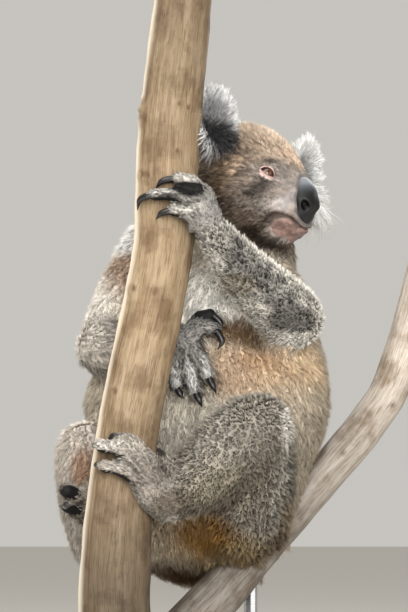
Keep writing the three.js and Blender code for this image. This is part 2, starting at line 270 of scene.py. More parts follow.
def bent(name, stations, around=16, rings=24, cap=0.22, joints=0.0, grow=0.0):
    """A sphere drawn along millimetre stations of [x, y, z, radius], with knuckles if joints is over 0."""
    obj = ball_of(around, rings)
    obj.name = obj.data.name = name
    co = places(obj.data)
    polar = np.arccos(np.clip(co[:, 2], -1, 1)) / np.pi
    side = co[:, :2] / np.maximum(np.linalg.norm(co[:, :2], axis=1), 1e-9)[:, None]
    t = np.clip((polar - cap) / (1 - 2 * cap), 0, 1)
    start = np.clip(polar / cap, 0, 1) * np.pi / 2
    end = np.clip((1 - polar) / cap, 0, 1) * np.pi / 2
    at = along(stations, t)
    after, before = (along(stations, np.clip(t + step, 0, 1))[:, :3] for step in (0.02, -0.02))
    ahead = unit(after - before)
    run = np.asarray(stations[-1][:3], float) - np.asarray(stations[0][:3], float)
    aside = np.array([0, 1.0, 0]) if abs(run[2]) > 0.8 * np.linalg.norm(run) else np.array([0, 0, 1.0])
    across = unit(np.cross(aside, ahead))
    out = np.cross(across, ahead)
    girth = (at[:, 3] + grow) * (1 + joints * np.cos(t * 4 * np.pi))
    ring = np.minimum(np.sin(start), np.sin(end))[:, None]
    past = (np.cos(end) - np.cos(start))[:, None]
    rim = ring * (side[:, :1] * across + side[:, 1:] * out)
    co = at[:, :3] + girth[:, None] * (rim + past * ahead)
    set_places(obj.data, co * MM)
    edit_all(obj, bpy.ops.mesh.normals_make_consistent, inside=False)
    return obj


# ---- hands and feet, in millimetres
# Each digit runs from the palm to its last pad, and its claw carries on from there.

PAWS = {
    "left_hand": {
        "palm": [[3, -116, 550, 18], [-1, -117, 562, 17], [-3, -114, 574, 15]],
        "digits": [
            ([[-1, -113, 582, 8.5], [-13, -122, 592, 7], [-25, -123, 595, 6]],
             [[-29, -122.5, 595], [-41, -121, 593], [-48, -117, 586]]),
            ([[-5, -118, 574, 9], [-28, -125, 579, 7], [-49, -122, 579, 5.8]],
             [[-53, -120, 579], [-63, -112, 576], [-66, -105, 567]]),
            ([[-4, -118, 558, 9], [-18, -125, 561, 7], [-30, -124, 563, 5.8]],
             [[-33, -123.5, 563], [-42, -121, 561], [-47, -117, 556]]),
            ([[2, -106, 556, 9], [0, -84, 552, 7.5], [-8, -60, 549, 6.5]],
             [[-12, -53, 549], [-24, -47, 548], [-33, -47, 543]]),
            ([[0, -106, 572, 9], [2, -84, 571, 7.5], [-7, -58, 570, 6.5]],
             [[-11, -53, 570], [-23, -47, 569], [-32, -46, 564]]),
        ],
    },
    "right_hand": {
        "palm": [[-34, -36, 442, 18], [-24, -44, 438, 16.5], [-19, -47, 430, 15]],
        "digits": [
            ([[-13, -50, 438, 8], [-4, -54, 422, 7], [4, -56, 405, 6.2]],
             [[5.5, -57.5, 402], [9, -61, 394], [12, -61, 387]]),
            ([[-21, -50, 428, 9], [-15, -55, 408, 7.5], [-9, -57, 390, 6.5]],
             [[-8, -58.5, 387], [-5, -62, 380], [-2, -62, 373]]),
            ([[-30, -50, 424, 8.5], [-30, -53, 408, 7], [-28, -55, 395, 6.2]],
             [[-27, -56.5, 392], [-24, -59, 386], [-20, -60, 382]]),
            ([[-13, -50, 445, 8.5], [-2, -55, 454, 7.5], [10, -58, 452, 6.5]],
             [[13, -59.5, 449], [18, -62, 439], [14, -63, 431]]),
            ([[-13, -44, 452, 8.5], [-4, -47, 464, 7.5], [6, -49, 467, 6.5]],
             [[9, -50, 466], [16, -52, 459], [18, -54, 452]]),
        ],
    },
    "left_foot": {
        "palm": [[-31, -92, 277, 22], [-48, -112, 288, 19], [-58, -120, 304, 16]],
        "digits": [
            ([[-54, -119, 316, 9.5], [-70, -126, 334, 8], [-79, -125.5, 338, 6.6]],
             [[-82.5, -125, 339.5], [-89, -121, 342], [-94, -117, 338]]),
            ([[-59, -122, 314, 10.5], [-80, -126, 328, 8.4], [-100, -118, 332, 6.6]],
             [[-102.5, -115.5, 333], [-107, -110, 333], [-109, -106, 331]]),
            ([[-62, -123, 300, 10.5], [-80, -127, 309, 7.6], [-97, -120, 312, 6.2]],
             [[-99.5, -118.5, 313], [-105, -113, 314], [-108, -108, 313]]),
            ([[-42, -108, 300, 11], [-40, -90, 314, 9], [-47, -70, 322, 8]], None),
        ],
    },
    "right_foot": {
        "palm": [[-106, -42, 268, 22], [-112, -54, 280, 18.5], [-110, -62, 292, 15.5]],
        "digits": [
            ([[-118, -60, 284, 9.5], [-128, -72, 286, 8.5], [-136, -80, 289, 7.4]], None),
            ([[-117, -58, 268, 8.5], [-127, -68, 269, 7], [-136, -76, 273, 6]],
             [[-137, -79, 274], [-136, -86, 275], [-132, -91, 274]]),
            ([[-104, -58, 302, 9], [-86, -44, 312, 7.8], [-72, -42, 318, 6.4]],
             [[-68, -42, 319], [-58, -44, 319], [-52, -49, 316]]),
            ([[-106, -54, 286, 9], [-90, -42, 292, 7.8], [-76, -40, 296, 6.4]],
             [[-72, -40, 297], [-62, -42, 297], [-56, -46, 294]]),
        ],
    },
}


def paw_forms(name, parts):
    forms = [bent(name + "_palm", parts["palm"], around=24, rings=20)]
    for i, (run, _) in enumerate(parts["digits"]):
        forms.append(bent(f"{name}_digit_{i}", run, around=20, rings=24, joints=0.07))
    return forms


# ---- the stems of the tree, in millimetres

TRUNK = [  # x, y, z and radius
    [-87, -85, 72, 36], [-89, -85, 170, 37], [-88, -85, 221, 35.5], [-83.5, -85, 280, 34],
    [-77, -85, 339, 32], [-69.5, -85, 384, 32], [-58, -85, 439, 32], [-47, -85, 489, 31],
    [-39, -85, 544, 31], [-37.5, -85, 609, 32], [-34, -85, 672, 33.5], [-26, -85, 731, 31],
    [-19, -85, 800, 30]]
BRANCH = [
    [-83, -80, 93, 24], [-39, -45, 131, 27], [12, -5, 181, 26], [54, 30, 229, 24],
    [88, 50, 264, 23], [117, 61, 298, 22.5], [152, 75, 336, 22], [177, 80, 367, 22],
    [201, 85, 405, 22], [221, 90, 462, 22.5], [236, 92, 522, 23], [243, 93, 550, 23]]


def along_path(points, path):
    """Length along the path at each point, the path's middle there, and its direction."""
    t = np.linspace(0, 1, 240)
    line = along(path, t)[:, :3] * MM
    ahead = unit(np.gradient(line, axis=0))
    nearest = np.empty(len(points), int)
    for i in range(0, len(points), 20000):  # a part at a time, to spare memory
        some = slice(i, i + 20000)
        nearest[some] = np.argmin(np.linalg.norm(points[some, None] - line[None], axis=2), axis=1)
    length = np.concatenate([[0], np.cumsum(np.linalg.norm(np.diff(line, axis=0), axis=1))])
    return length[nearest], line[nearest], ahead[nearest]


# ---- ears
# A thin cup turned outwards, inside the round form that its fringe fills.

EAR_TURN = math.radians(10)
# middle and reach of the right and the left ear, in metres
EARS = {-1: ((0.005, 0.086, 0.040), 0.029), 1: ((0.004, 0.087, 0.034), 0.034)}


def ear_frame(side):
    x, y, z = EARS[side][0]
    return HEAD_FRAME @ Matrix.Translation((x, side * y, z)) @ Matrix.Rotation(side * EAR_TURN, 4, "Z")


def ear_forms(side):
    cup = ball_of(40, 24)
    reach = EARS[side][1]
    co = places(cup.data) * (0.0048, reach, reach * 1.03)
    rim = np.linalg.norm(co[:, 1:], axis=1) / reach
    co[:, 0] += 0.013 * rim ** 2.2 - 0.006
    frame_of_ear = ear_frame(side)
    set_places(cup.data, co @ np.array(frame_of_ear.to_3x3()).T + np.array(frame_of_ear.translation))
    root = from_head([[-0.010, side * 0.048, 0.024], [-0.006, side * 0.070, 0.034]]) / MM
    stem = bent("ear_root", [[*root[0], 19], [*root[1], 13]], around=24, rings=16)
    return [cup, stem]


# ---- the one skin

FLESH = {  # coat depth in millimetres between the solid's outline and the skin
    "head": 5.0, "neck": 12.0, "torso": 10.0,
    "upper_arm_left": 7.5, "upper_arm_right": 8.0, "forearm_left": 5.5, "forearm_right": 6.5,
    "thigh_left": 8.0, "thigh_right": 9.5, "shank_left": 7.0, "shank_right": 8.5,
}
REPLACED = [*FLESH, "ear_left", "ear_right", *PAWS]
SKIN_VOXEL = 0.0019
SKIN_TRIANGLES = 138000  # before the finer faces round the eyes and mouth


def region_finder(names):
    """Looks up which CAD node's surface is nearest to each point."""
    corners, faces, owner = [], [], []
    count = 0
    for i, name in enumerate(names):
        mesh = NODES[name].data
        co = places(mesh)
        triangles = np.empty(len(mesh.polygons) * 3, np.int32)
        mesh.polygons.foreach_get("vertices", triangles)
        corners.append(co)
        faces.append(triangles.reshape(-1, 3) + count)
        owner += [i] * len(mesh.polygons)
        count += len(co)
    tree = BVHTree.FromPolygons(np.vstack(corners).tolist(), np.vstack(faces).tolist())
    owner = np.array(owner)

    def find(points):
        return owner[[tree.find_nearest(p)[2] for p in points.tolist()]]

    return find


find_region = region_finder(REPLACED)


def is_in(owner, *names):
    return np.isin(owner, [REPLACED.index(n) for n in names])


def share_of(weights, *names):
    """How much each point belongs to the named nodes."""
    return sum(weights[:, REPLACED.index(n)] for n in names)


def build_skin():
    forms = []
    for node in FLESH:
        form = merged_copy(node, "flesh_" + node)
        set_places(form.data, places(form.data) + normals(form.data) * 0.0005)  # closes the gaps
        forms.append(form)
    for side in (1, -1):
        forms += ear_forms(side)
    for name, parts in PAWS.items():
        forms += paw_forms(name, parts)
    core = merged_copy("nose", "nose_core")  # fills the skin behind the leather
    set_places(core.data, places(core.data) - normals(core.data) * 0.0015)
    forms.append(core)
    body = remeshed(joined(forms, "koala_skin"), SKIN_VOXEL)
    edges = edges_of(body.data)
    co = places(body.data)
    owner = find_region(co)
    depth = np.array([FLESH.get(n, 0.0) for n in REPLACED])[owner] * MM
    local = to_head(co)
    on_head = is_in(owner, "head")
    face = ease(local[:, 0], -0.01, 0.05) * on_head
    depth = np.where(on_head, 0.0075 - 0.0045 * face, depth)  # the coat is thinnest on the face
    on_ear = is_in(owner, "ear_left", "ear_right")
    on_paw = is_in(owner, *PAWS)
    depth[on_ear] = 0.0
    calm = np.where(on_ear | on_paw, 0.2, 0.6)
    depth = spread(depth, edges, 30)
    depth[on_paw] = np.minimum(depth[on_paw], 0.0004)
    co = spread(co, edges, 24, spread(calm, edges, 8))
    set_places(body.data, co)
    co = co - normals(body.data) * depth[:, None]
    co = spread(co, edges, 6, np.where(on_paw, 0.1, 0.5))
    set_places(body.data, co)
    tuck_under_branch(body)
    lighten(body, SKIN_TRIANGLES)
    refine(body)
    sculpt_eyes(body)
    sculpt_mouth(body)
    sculpt_nose_bed(body)
    return body


def tuck_under_branch(body):
    """Draws the thin edge of the body that wraps the underside of the branch into the wood."""
    co = places(body.data)
    _, middle, ahead = along_path(co, BRANCH)
    out = co - middle
    out -= ahead * np.sum(out * ahead, axis=1, keepdims=True)
    away = np.linalg.norm(out, axis=1)
    up = np.array([0, 0, 1.0]) - ahead * ahead[:, 2:]
    height = np.sum(out * unit(up), axis=1) / np.maximum(away, 1e-6)
    front = -out[:, 1] / np.maximum(away, 1e-6)
    wraps = np.maximum(ease(-height, -0.1, 0.25), ease(front, 0.35, 0.7) * ease(-height, -0.75, -0.45))
    share = wraps * ease(-away, -0.040, -0.034) * ease(co[:, 0], 0.055, 0.070)
    inside = np.minimum(away, 0.016)
    co = co + unit(out) * ((inside - away) * share)[:, None]
    set_places(body.data, co)


def lighten(body, goal):
    """Fewer faces on the wide furry parts, none taken from the face, hands and feet."""
    co = places(body.data)
    owner = find_region(co)
    fine = is_in(owner, *PAWS) | (to_head(co)[:, 0] > 0.02) & is_in(owner, "head")
    group = body.vertex_groups.new(name="wide")
    group.add(np.where(~fine)[0].tolist(), 1.0, "REPLACE")
    ratio = goal / (2 * len(body.data.polygons))
    apply_modifier(body, "DECIMATE", ratio=ratio, vertex_group="wide", use_collapse_triangulate=True)
    body.vertex_groups.clear()


def refine(body):
    """Finer faces round the eyes and along the mouth."""
    mesh = bmesh.new()
    mesh.from_mesh(body.data)
    for _ in range(2):
        co = np.array([v.co for v in mesh.verts])
        local = to_head(co)
        near = np.zeros(len(co), bool)
        for side in (-1, 1):
            near |= np.linalg.norm(local - EYES[side]["at"], axis=1) < 0.016
        near |= distance_to_line(local, MOUTH)[0] < 0.006
        flags = near.tolist()
        mesh.verts.index_update()
        edges = [e for e in mesh.edges if flags[e.verts[0].index] and flags[e.verts[1].index]]
        bmesh.ops.subdivide_edges(mesh, edges=edges, cuts=1, use_grid_fill=True)
        bmesh.ops.triangulate(mesh, faces=[f for f in mesh.faces if len(f.verts) > 3])
    mesh.to_mesh(body.data)
    mesh.free()


# ---- eyes, mouth and nose bed, in the head's frame

def eye_place(side):
    low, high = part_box("eye_left" if side > 0 else "eye_right")
    at = to_head((np.array(low) + np.array(high)) / 2)
    slit = unit(np.array([0.632, -side * 0.690, -0.354]))
    out = unit(np.array([0.0484, side * 0.0431, -0.0052]) - at)
    out = unit(out - slit * (out @ slit))
    rise = np.cross(out, slit) * side
    return {"at": at, "slit": slit, "rise": rise if rise[2] > 0 else -rise, "out": out}


EYES = {side: eye_place(side) for side in (-1, 1)}
EYE_R = 0.008
LID_R = 0.0088  # where the opening is measured, just outside the ball
LID_TOP = 0.0093  # outside of the lids, from the middle of the ball
EYE_BED = 0.0066  # the hollow that the ball sits in
EYE_REACH = 0.022  # how far round the eye the skin is shaped
BEHIND_EYE = -0.020


def eye_opening(local, side):
    """Millimetres along and across the eye on its ball, and how far inside the opening each point is."""
    eye = EYES[side]
    away = local - eye["at"]
    x = np.arcsin(np.clip(away @ eye["slit"] / LID_R, -1, 1)) * 8
    y = np.arcsin(np.clip(away @ eye["rise"] / LID_R, -1, 1)) * 8
    top = 4.0 * np.maximum(1 - (np.abs(x + 0.8) / 8.4) ** 1.8, -1)
    bottom = -3.3 * np.maximum(1 - (np.abs(x - 0.3) / 8.4) ** 1.9, -1)
    inside = np.minimum(top - y, y - bottom)
    inside = np.where(away @ eye["out"] > BEHIND_EYE, inside, -9)
    return x, y, inside, away


def sculpt_eyes(body):
    co = places(body.data)
    local = to_head(co)
    for side in (-1, 1):
        eye = EYES[side]
        x, y, inside, away = eye_opening(local, side)
        aside = away - np.outer(away @ eye["out"], eye["out"])
        wide = np.linalg.norm(aside, axis=1)
        height = away @ eye["out"]
        near = (wide < EYE_REACH) & (height > BEHIND_EYE)
        lid = LID_TOP + 0.0004 * np.exp(-((inside + 0.6) / 0.7) ** 2)
        lid -= 0.0007 * np.exp(-((y - 5.6 + 0.04 * x * x) / 0.7) ** 2)
        lid -= 0.0005 * np.exp(-((y + 5.6 - 0.04 * x * x) / 0.8) ** 2)
        ball = np.sqrt(np.maximum(lid ** 2 - wide ** 2, 0))
        soft = 0.0022
        blend = np.clip(0.5 + 0.5 * (ball - height) / soft, 0, 1)
        raised = height + (ball - height) * blend + soft * blend * (1 - blend)
        raised = np.where(wide < 0.0125, raised, height)
        sunk = np.sqrt(np.maximum(EYE_BED ** 2 - wide ** 2, 0))
        into = ease(inside, -0.15, 0.35)
        raised = raised * (1 - into) + sunk * into
        move = np.where(near, raised - height, 0)
        local = local + move[:, None] * eye["out"]
    set_places(body.data, from_head(local))


MOUTH = np.array([  # the near half, from the corner to the middle under the nose, in metres
    [0.0395, -0.0360, -0.0575], [0.0475, -0.0345, -0.0515], [0.0545, -0.0310, -0.0475],
    [0.0600, -0.0262, -0.0480], [0.0650, -0.0205, -0.0495], [0.0680, -0.0135, -0.0520],
    [0.0690, -0.0060, -0.0550], [0.0690, 0.0, -0.0560]])


def distance_to_line(local, line):
    """Distance to a line on either side of the head, and how far along it, from 0 to 1."""
    p = local.copy()
    p[:, 1] = -np.abs(p[:, 1])
    best, along_it = np.full(len(p), 9.0), np.zeros(len(p))
    for i, (a, b) in enumerate(zip(line[:-1], line[1:])):
        t = np.clip((p - a) @ (b - a) / ((b - a) @ (b - a)), 0, 1)
        d = np.linalg.norm(p - a - t[:, None] * (b - a), axis=1)
        closer = d < best
        best[closer], along_it[closer] = d[closer], (i + t[closer]) / (len(line) - 1)
    return best, along_it


def sculpt_mouth(body):
    co, n = places(body.data), normals(body.data)
    local = to_head(co)
    d, t = distance_to_line(local, MOUTH)
    ends = ease(t, 0.0, 0.2)
    groove = np.exp(-((d / 0.0016) ** 2)) * (0.4 + 0.6 * ends)
    below = local[:, 2] < np.interp(-np.abs(local[:, 1]), MOUTH[:, 1], MOUTH[:, 2])
    lip = np.exp(-(((d - 0.0045) / 0.0035) ** 2)) * ends
    push = -0.0042 * groove + np.where(below, 0.0016, 0.0018) * lip
    chin = ease(local[:, 0], 0.040, 0.062) * ease(-local[:, 2], 0.053, 0.060) * is_in(find_region(co), "head")
    set_places(body.data, co + n * push[:, None] - 0.009 * chin[:, None] * HEAD_AXES[:, 0])


def sculpt_nose_bed(body):
    co, n = places(body.data), normals(body.data)
    local = to_head(co)
    rim = nose_distance(local)
    push = 0.0012 * np.exp(-(((rim - 0.0022) / 0.0016) ** 2))  # a low fold that the leather sits in
    set_places(body.data, co + n * push[:, None])


NOSE_EGGS = [  # middle and radii in the head's frame, in metres
    ((0.0650, 0, -0.0080), (0.0105, 0.0110, 0.0085)), ((0.0685, 0, -0.0180), (0.0140, 0.0150, 0.0130)),
    ((0.0700, 0, -0.0290), (0.0155, 0.0175, 0.0150)), ((0.0655, 0, -0.0400), (0.0138, 0.0162, 0.0134))]


def nose_distance(local):
    """Metres outside the nose, below 0 inside it."""
    eggs = [(np.linalg.norm((local - at) / np.array(r), axis=1) - 1) * min(r) for at, r in NOSE_EGGS]
    return np.min(eggs, axis=0)


skin = build_skin()


# ---- the coat's character by region

# length mm, width mm, rise degrees, lock strength, lock spacing mm, curl degrees, brightness at the root
# (painted shade deep in the coat)
COAT = {
    "head": (6.2, 0.70, 34, 0.32, 2.4, 16, 0.50), "neck": (13, 1.1, 44, 0.45, 5.0, 20, 0.60),
    "torso": (12.5, 1.10, 42, 0.48, 4.8, 22, 0.56),
    "ear_left": (16, 0.9, 38, 0.40, 4.5, 16, 0.62), "ear_right": (16, 0.9, 38, 0.40, 4.5, 16, 0.60),
    "upper_arm_left": (8.5, 1.0, 54, 0.60, 3.6, 24, 0.46),
    "upper_arm_right": (9.0, 1.0, 46, 0.42, 3.8, 20, 0.60),
    "forearm_left": (7.4, 0.9, 56, 0.60, 3.2, 26, 0.44),
    "forearm_right": (8.0, 0.95, 46, 0.45, 3.4, 20, 0.55),
    "thigh_left": (8.0, 1.15, 76, 0.66, 4.3, 30, 0.34),
    "thigh_right": (11.0, 1.05, 44, 0.44, 4.4, 22, 0.62),
    "shank_left": (7.6, 1.15, 76, 0.66, 4.0, 30, 0.34),
    "shank_right": (10.5, 1.05, 44, 0.44, 4.2, 22, 0.62),
    "left_hand": (4.6, 0.72, 30, 0.50, 2.6, 18, 0.40), "right_hand": (4.6, 0.72, 30, 0.50, 2.6, 18, 0.40),
    "left_foot": (5.2, 0.80, 34, 0.52, 2.9, 20, 0.42), "right_foot": (5.0, 0.80, 32, 0.50, 2.8, 20, 0.44),
}

LIMBS = {  # millimetre paths that the hair follows, from the body outwards
    "neck": [[29, 60, 560, 1], [38, 42, 500, 1], [40, 30, 440, 1]],
    "upper_arm_left": [[64, 34, 514, 1], [76, 2, 486, 1], [88, -34, 466, 1]],
    "forearm_left": [
        [90, -44, 465, 1], [68, -64, 482, 1], [44, -86, 502, 1], [18, -106, 532, 1], [4, -116, 550, 1]],
    "upper_arm_right": [[-43, 36, 544, 1], [-76, 14, 494, 1], [-99, -4, 440, 1]],
    "forearm_right": [[-100, -8, 436, 1], [-66, -20, 430, 1], [-34, -34, 441, 1]],
    "shank_left": [
        [50, -68, 370, 1], [30, -80, 334, 1], [8, -90, 312, 1], [-14, -94, 290, 1], [-30, -92, 277, 1]],
    "thigh_left": [[54, -60, 370, 1], [48, -30, 300, 1], [34, 4, 232, 1]],
    "shank_right": [[-119, -12, 348, 1], [-117, -28, 298, 1], [-108, -40, 270, 1]],
    "thigh_right": [[-117, -4, 348, 1], [-109, 14, 284, 1], [-89, 26, 230, 1]],
}


def path_direction(points, paths):
    """The direction of the nearest stretch of any of the millimetre paths."""
    where, ahead = [], []
    for path in paths:
        t = np.linspace(0, 1, 12)
        samples = along(path, t)[:, :3] * MM
        where.append(samples[:-1] + np.diff(samples, axis=0) / 2)
        ahead.append(unit(np.diff(samples, axis=0)))
    where, ahead = np.vstack(where), np.vstack(ahead)
    nearest = np.argmin(np.linalg.norm(points[:, None] - where[None], axis=2), axis=1)
    return ahead[nearest]


def to_ear(points, side):
    ear = np.array(ear_frame(side))
    return (points - ear[:3, 3]) @ ear[:3, :3]


def from_ear(directions, side):
    return directions @ np.array(ear_frame(side))[:3, :3].T


BODY_FORWARD = np.array([-0.5, -0.866, 0.0])


def node_lie(name, co):
    """The way the hair lies on one node."""
    if name == "head":
        local = to_head(co)
        away = unit(local - (0.090, 0, -0.022))
        away[:, 2] -= 0.35 * ease(np.abs(local[:, 1]), 0.02, 0.06)
        away[:, 2] -= 0.8 * ease(-local[:, 0], 0.0, 0.06)
        return head_direction(away)
    if name.startswith("ear_"):
        side = 1 if name == "ear_left" else -1
        local = to_ear(co, side)
        radial = local * (0.0, 1.0, 1.0)
        radial[:, 2] += 0.004
        radial = unit(radial)
        radial[:, 0] = 0.15
        radial[:, 1] += side * 0.25
        return from_ear(radial, side)
    if name == "torso":
        down = np.tile((0.0, 0.0, -1.0), (len(co), 1))
        return down - 0.3 * BODY_FORWARD
    if name in PAWS:
        parts = PAWS[name]
        return path_direction(co, [parts["palm"]] + [run for run, _ in parts["digits"]])
    return path_direction(co, [LIMBS[name]])


def region_weights(mesh, rounds):
    owner = find_region(places(mesh))
    weights = np.zeros((len(owner), len(REPLACED)))
    weights[np.arange(len(owner)), owner] = 1
    return spread(weights, edges_of(mesh), rounds)


PADS = [  # black naked pads: middle and radii in millimetres
    ((-16, -124, 585.5), (20, 12, 6.5)), ((0, -48, 468), (17, 13, 8.5)), ((14, -58, 446), (7, 9, 9)),
    ((-132, -85, 287), (12, 14, 8)), ((-130, -79, 269), (12, 14, 6))]
TOE_UNDERSIDES = {"left_hand": (0.016, 0.028), "left_foot": (0.060, 0.074)}  # naked from here on along -X


def pad_share(co, normal, weights):
    """The naked undersides of fingers and toes, and the pads that face out."""
    bare = np.zeros(len(co))
    for paw, (start, full) in TOE_UNDERSIDES.items():
        digits = ease(-co[:, 0], start, full) * ease(share_of(weights, paw), 0.4, 0.8)
        bare = np.maximum(bare, 0.95 * ease(-normal[:, 2], 0.25, 0.6) * digits)
    on_paw = ease(share_of(weights, *PAWS), 0.4, 0.8)
    for middle, radii in PADS:
        bare = np.maximum(bare, patch(co, middle, radii, 0.3) * on_paw)
    return bare


def bare_places(co, normal, weights):
    """1 where the skin is bare: lids, lips, the bed of the nose and the pads."""
    local = to_head(co)
    bare = np.zeros(len(co))
    for side in (-1, 1):
        _, _, inside, away = eye_opening(local, side)
        near = np.linalg.norm(away, axis=1) < 0.014
        bare = np.maximum(bare, near * ease(inside, -2.6, -1.5))
    bare = np.maximum(bare, 0.52 * lip_share(local))
    bare = np.maximum(bare, ease(-nose_distance(local), -0.0012, -0.0003))
    return np.maximum(bare * ease(share_of(weights, "head"), 0.2, 0.6), pad_share(co, normal, weights))


def lip_share(local):
    """The soft pink lower lip under the mouth line."""
    q = local * (1, 0, 1) + np.abs(local) * (0, 1, 0)
    egg = np.linalg.norm((q - (0.0600, 0.0130, -0.0590)) / (0.0160, 0.0185, 0.0095), axis=1)
    return ease(-egg, -1.15, -0.85)


# turns round the ear, 0 outwards and positive upwards
FRINGE_TURNS = [-3.14, -2.1, -1.5, -1.0, -0.5, 0.0, 0.6, 1.6, 2.3, 3.14]
FRINGE = {  # how much longer the hair is there
    -1: [0.60, 1.20, 1.80, 1.80, 1.50, 1.10, 0.90, 0.90, 0.80, 0.60],
    1: [0.90, 2.00, 2.90, 2.60, 1.70, 1.15, 1.05, 1.10, 1.10, 0.90],
}
WHITE_TUFT = (-78, 14, 558), (22, 40, 22)  # on the far shoulder
CHEST = (2, -34, 484), (60, 60, 46)  # where the coat is pale down to the skin, with painted light lifting the shade of the arm and trunk


class Field:
    """What the coat does at each point of the skin."""

    def __init__(self, mesh):
        self.co = places(mesh)
        self.normal = normals(mesh)
        edges = edges_of(mesh)
        self.weights = region_weights(mesh, 14)
        table = np.array([COAT[n] for n in REPLACED])
        character = self.weights @ table
        self.length, self.width = character[:, 0] * MM, character[:, 1] * MM
        self.rise = np.radians(character[:, 2])
        self.lock, self.spacing = character[:, 3], character[:, 4] * MM
        self.curl = np.radians(character[:, 5])
        # brightness at the root: painted shade deep in the coat
        self.root = character[:, 6]
        lie = np.zeros_like(self.co)
        for i, name in enumerate(REPLACED):
            some = self.weights[:, i] > 0.01
            lie[some] += self.weights[some, i, None] * node_lie(name, self.co[some])
        lie = spread(lie, edges, 10)
        self.lie = unit(lie - self.normal * np.sum(lie * self.normal, axis=1, keepdims=True))
        self.bare = bare_places(self.co, self.normal, self.weights)
        paws = np.clip(share_of(self.weights, *PAWS), 0, 1)
        relief = spread(self.co, edges, 36) - self.co  # millimetres that each point lies in a hollow
        # kept for the painted shade in the creases of the hands and feet
        self.hollow = np.sum(relief * self.normal, axis=1) / MM * paws
        # pale chest fur, and painted light: brighter roots on the chest, which lies in the shade of the arm
        # and trunk
        self.root += 0.34 * patch(self.co, *CHEST) * share_of(self.weights, "torso")
        self.face()
        self.ears()
        self.length *= 1 + 0.7 * patch(self.co, *WHITE_TUFT)

    def face(self):
        head = share_of(self.weights, "head")
        local = to_head(self.co)
        front = ease(local[:, 0], 0.015, 0.060)
        self.length *= 1 - 0.48 * front * head
        self.width *= 1 - 0.25 * front * head
        muzzle = np.linalg.norm((local - (0.066, 0, -0.035)) / (0.030, 0.034, 0.040), axis=1)
        muzzle = ease(-muzzle, -1.3, -0.7)
        self.length *= 1 - 0.35 * muzzle * head
        self.rise *= 1 - 0.35 * muzzle * head
        crown = ease(local[:, 2], 0.020, 0.045) * head
        self.length *= 1 + 0.60 * crown
        self.rise *= 1 + 0.55 * crown
        chin = ease(-local[:, 2], 0.045, 0.075) * head
        self.length *= 1 + 0.5 * chin
        cheek = ease(np.abs(local[:, 1]), 0.045, 0.075) * ease(-local[:, 2], -0.01, 0.03) * head
        self.length *= 1 + 0.6 * cheek

    def ears(self):
        for side, name in ((1, "ear_left"), (-1, "ear_right")):
            weight = share_of(self.weights, name)
            local = to_ear(self.co, side)
            away = np.hypot(local[:, 1], local[:, 2])
            turn = np.arctan2(local[:, 2], side * local[:, 1])
            rim = ease(away, 0.016, 0.028) * weight
            facing = self.normal @ np.array(ear_frame(side))[:3, 0]
            back = ease(-facing, 0.0, 0.5) * weight
            fringe = np.interp(turn, FRINGE_TURNS, FRINGE[side])
            self.length *= 1 + (fringe - 1) * rim
            self.length *= 1 - 0.35 * (1 - rim) * weight
            self.length *= 1 - 0.25 * back
            self.rise *= 1 - 0.35 * rim

    def at(self, faces, share):
        """Every field at points given by triangles and their corner shares."""
        names = ("co", "normal", "lie", "length", "width", "rise", "lock", "spacing", "curl", "root",
                 "weights", "bare", "hollow")
        out = {name: np.einsum("ij,ij...->i...", share, getattr(self, name)[faces]) for name in names}
        out["normal"] = unit(out["normal"])
        lie = out["lie"]
        out["lie"] = unit(lie - out["normal"] * np.sum(lie * out["normal"], axis=1, keepdims=True))
        return out


field = Field(skin.data)


# ---- colours

NODE_COLOUR = {
    "head": (146, 130, 116), "neck": (172, 162, 150), "torso": (200, 187, 168),
    "ear_left": (222, 222, 220), "ear_right": (208, 208, 208),
    "upper_arm_left": (226, 218, 205), "upper_arm_right": (240, 229, 214),
    "forearm_left": (232, 226, 214), "forearm_right": (202, 194, 182),
    "thigh_left": (166, 158, 146), "thigh_right": (206, 198, 186),
    "shank_left": (178, 170, 157), "shank_right": (216, 206, 194),
    "left_hand": (150, 146, 140), "right_hand": (134, 131, 126),
    "left_foot": (176, 168, 157), "right_foot": (134, 126, 116),
}
PEPPER = {  # how much of the coat is dark hairs and locks among the pale ones
    "head": 0.58, "ear_left": 0.12, "ear_right": 0.25, "neck": 0.25, "torso": 0.20,
    "upper_arm_left": 0.45, "forearm_left": 0.45, "upper_arm_right": 0.38, "forearm_right": 0.60,
    "thigh_left": 0.50, "shank_left": 0.50, "thigh_right": 0.35, "shank_right": 0.35,
    "left_hand": 0.62, "right_hand": 0.66, "left_foot": 0.50, "right_foot": 0.55,
}

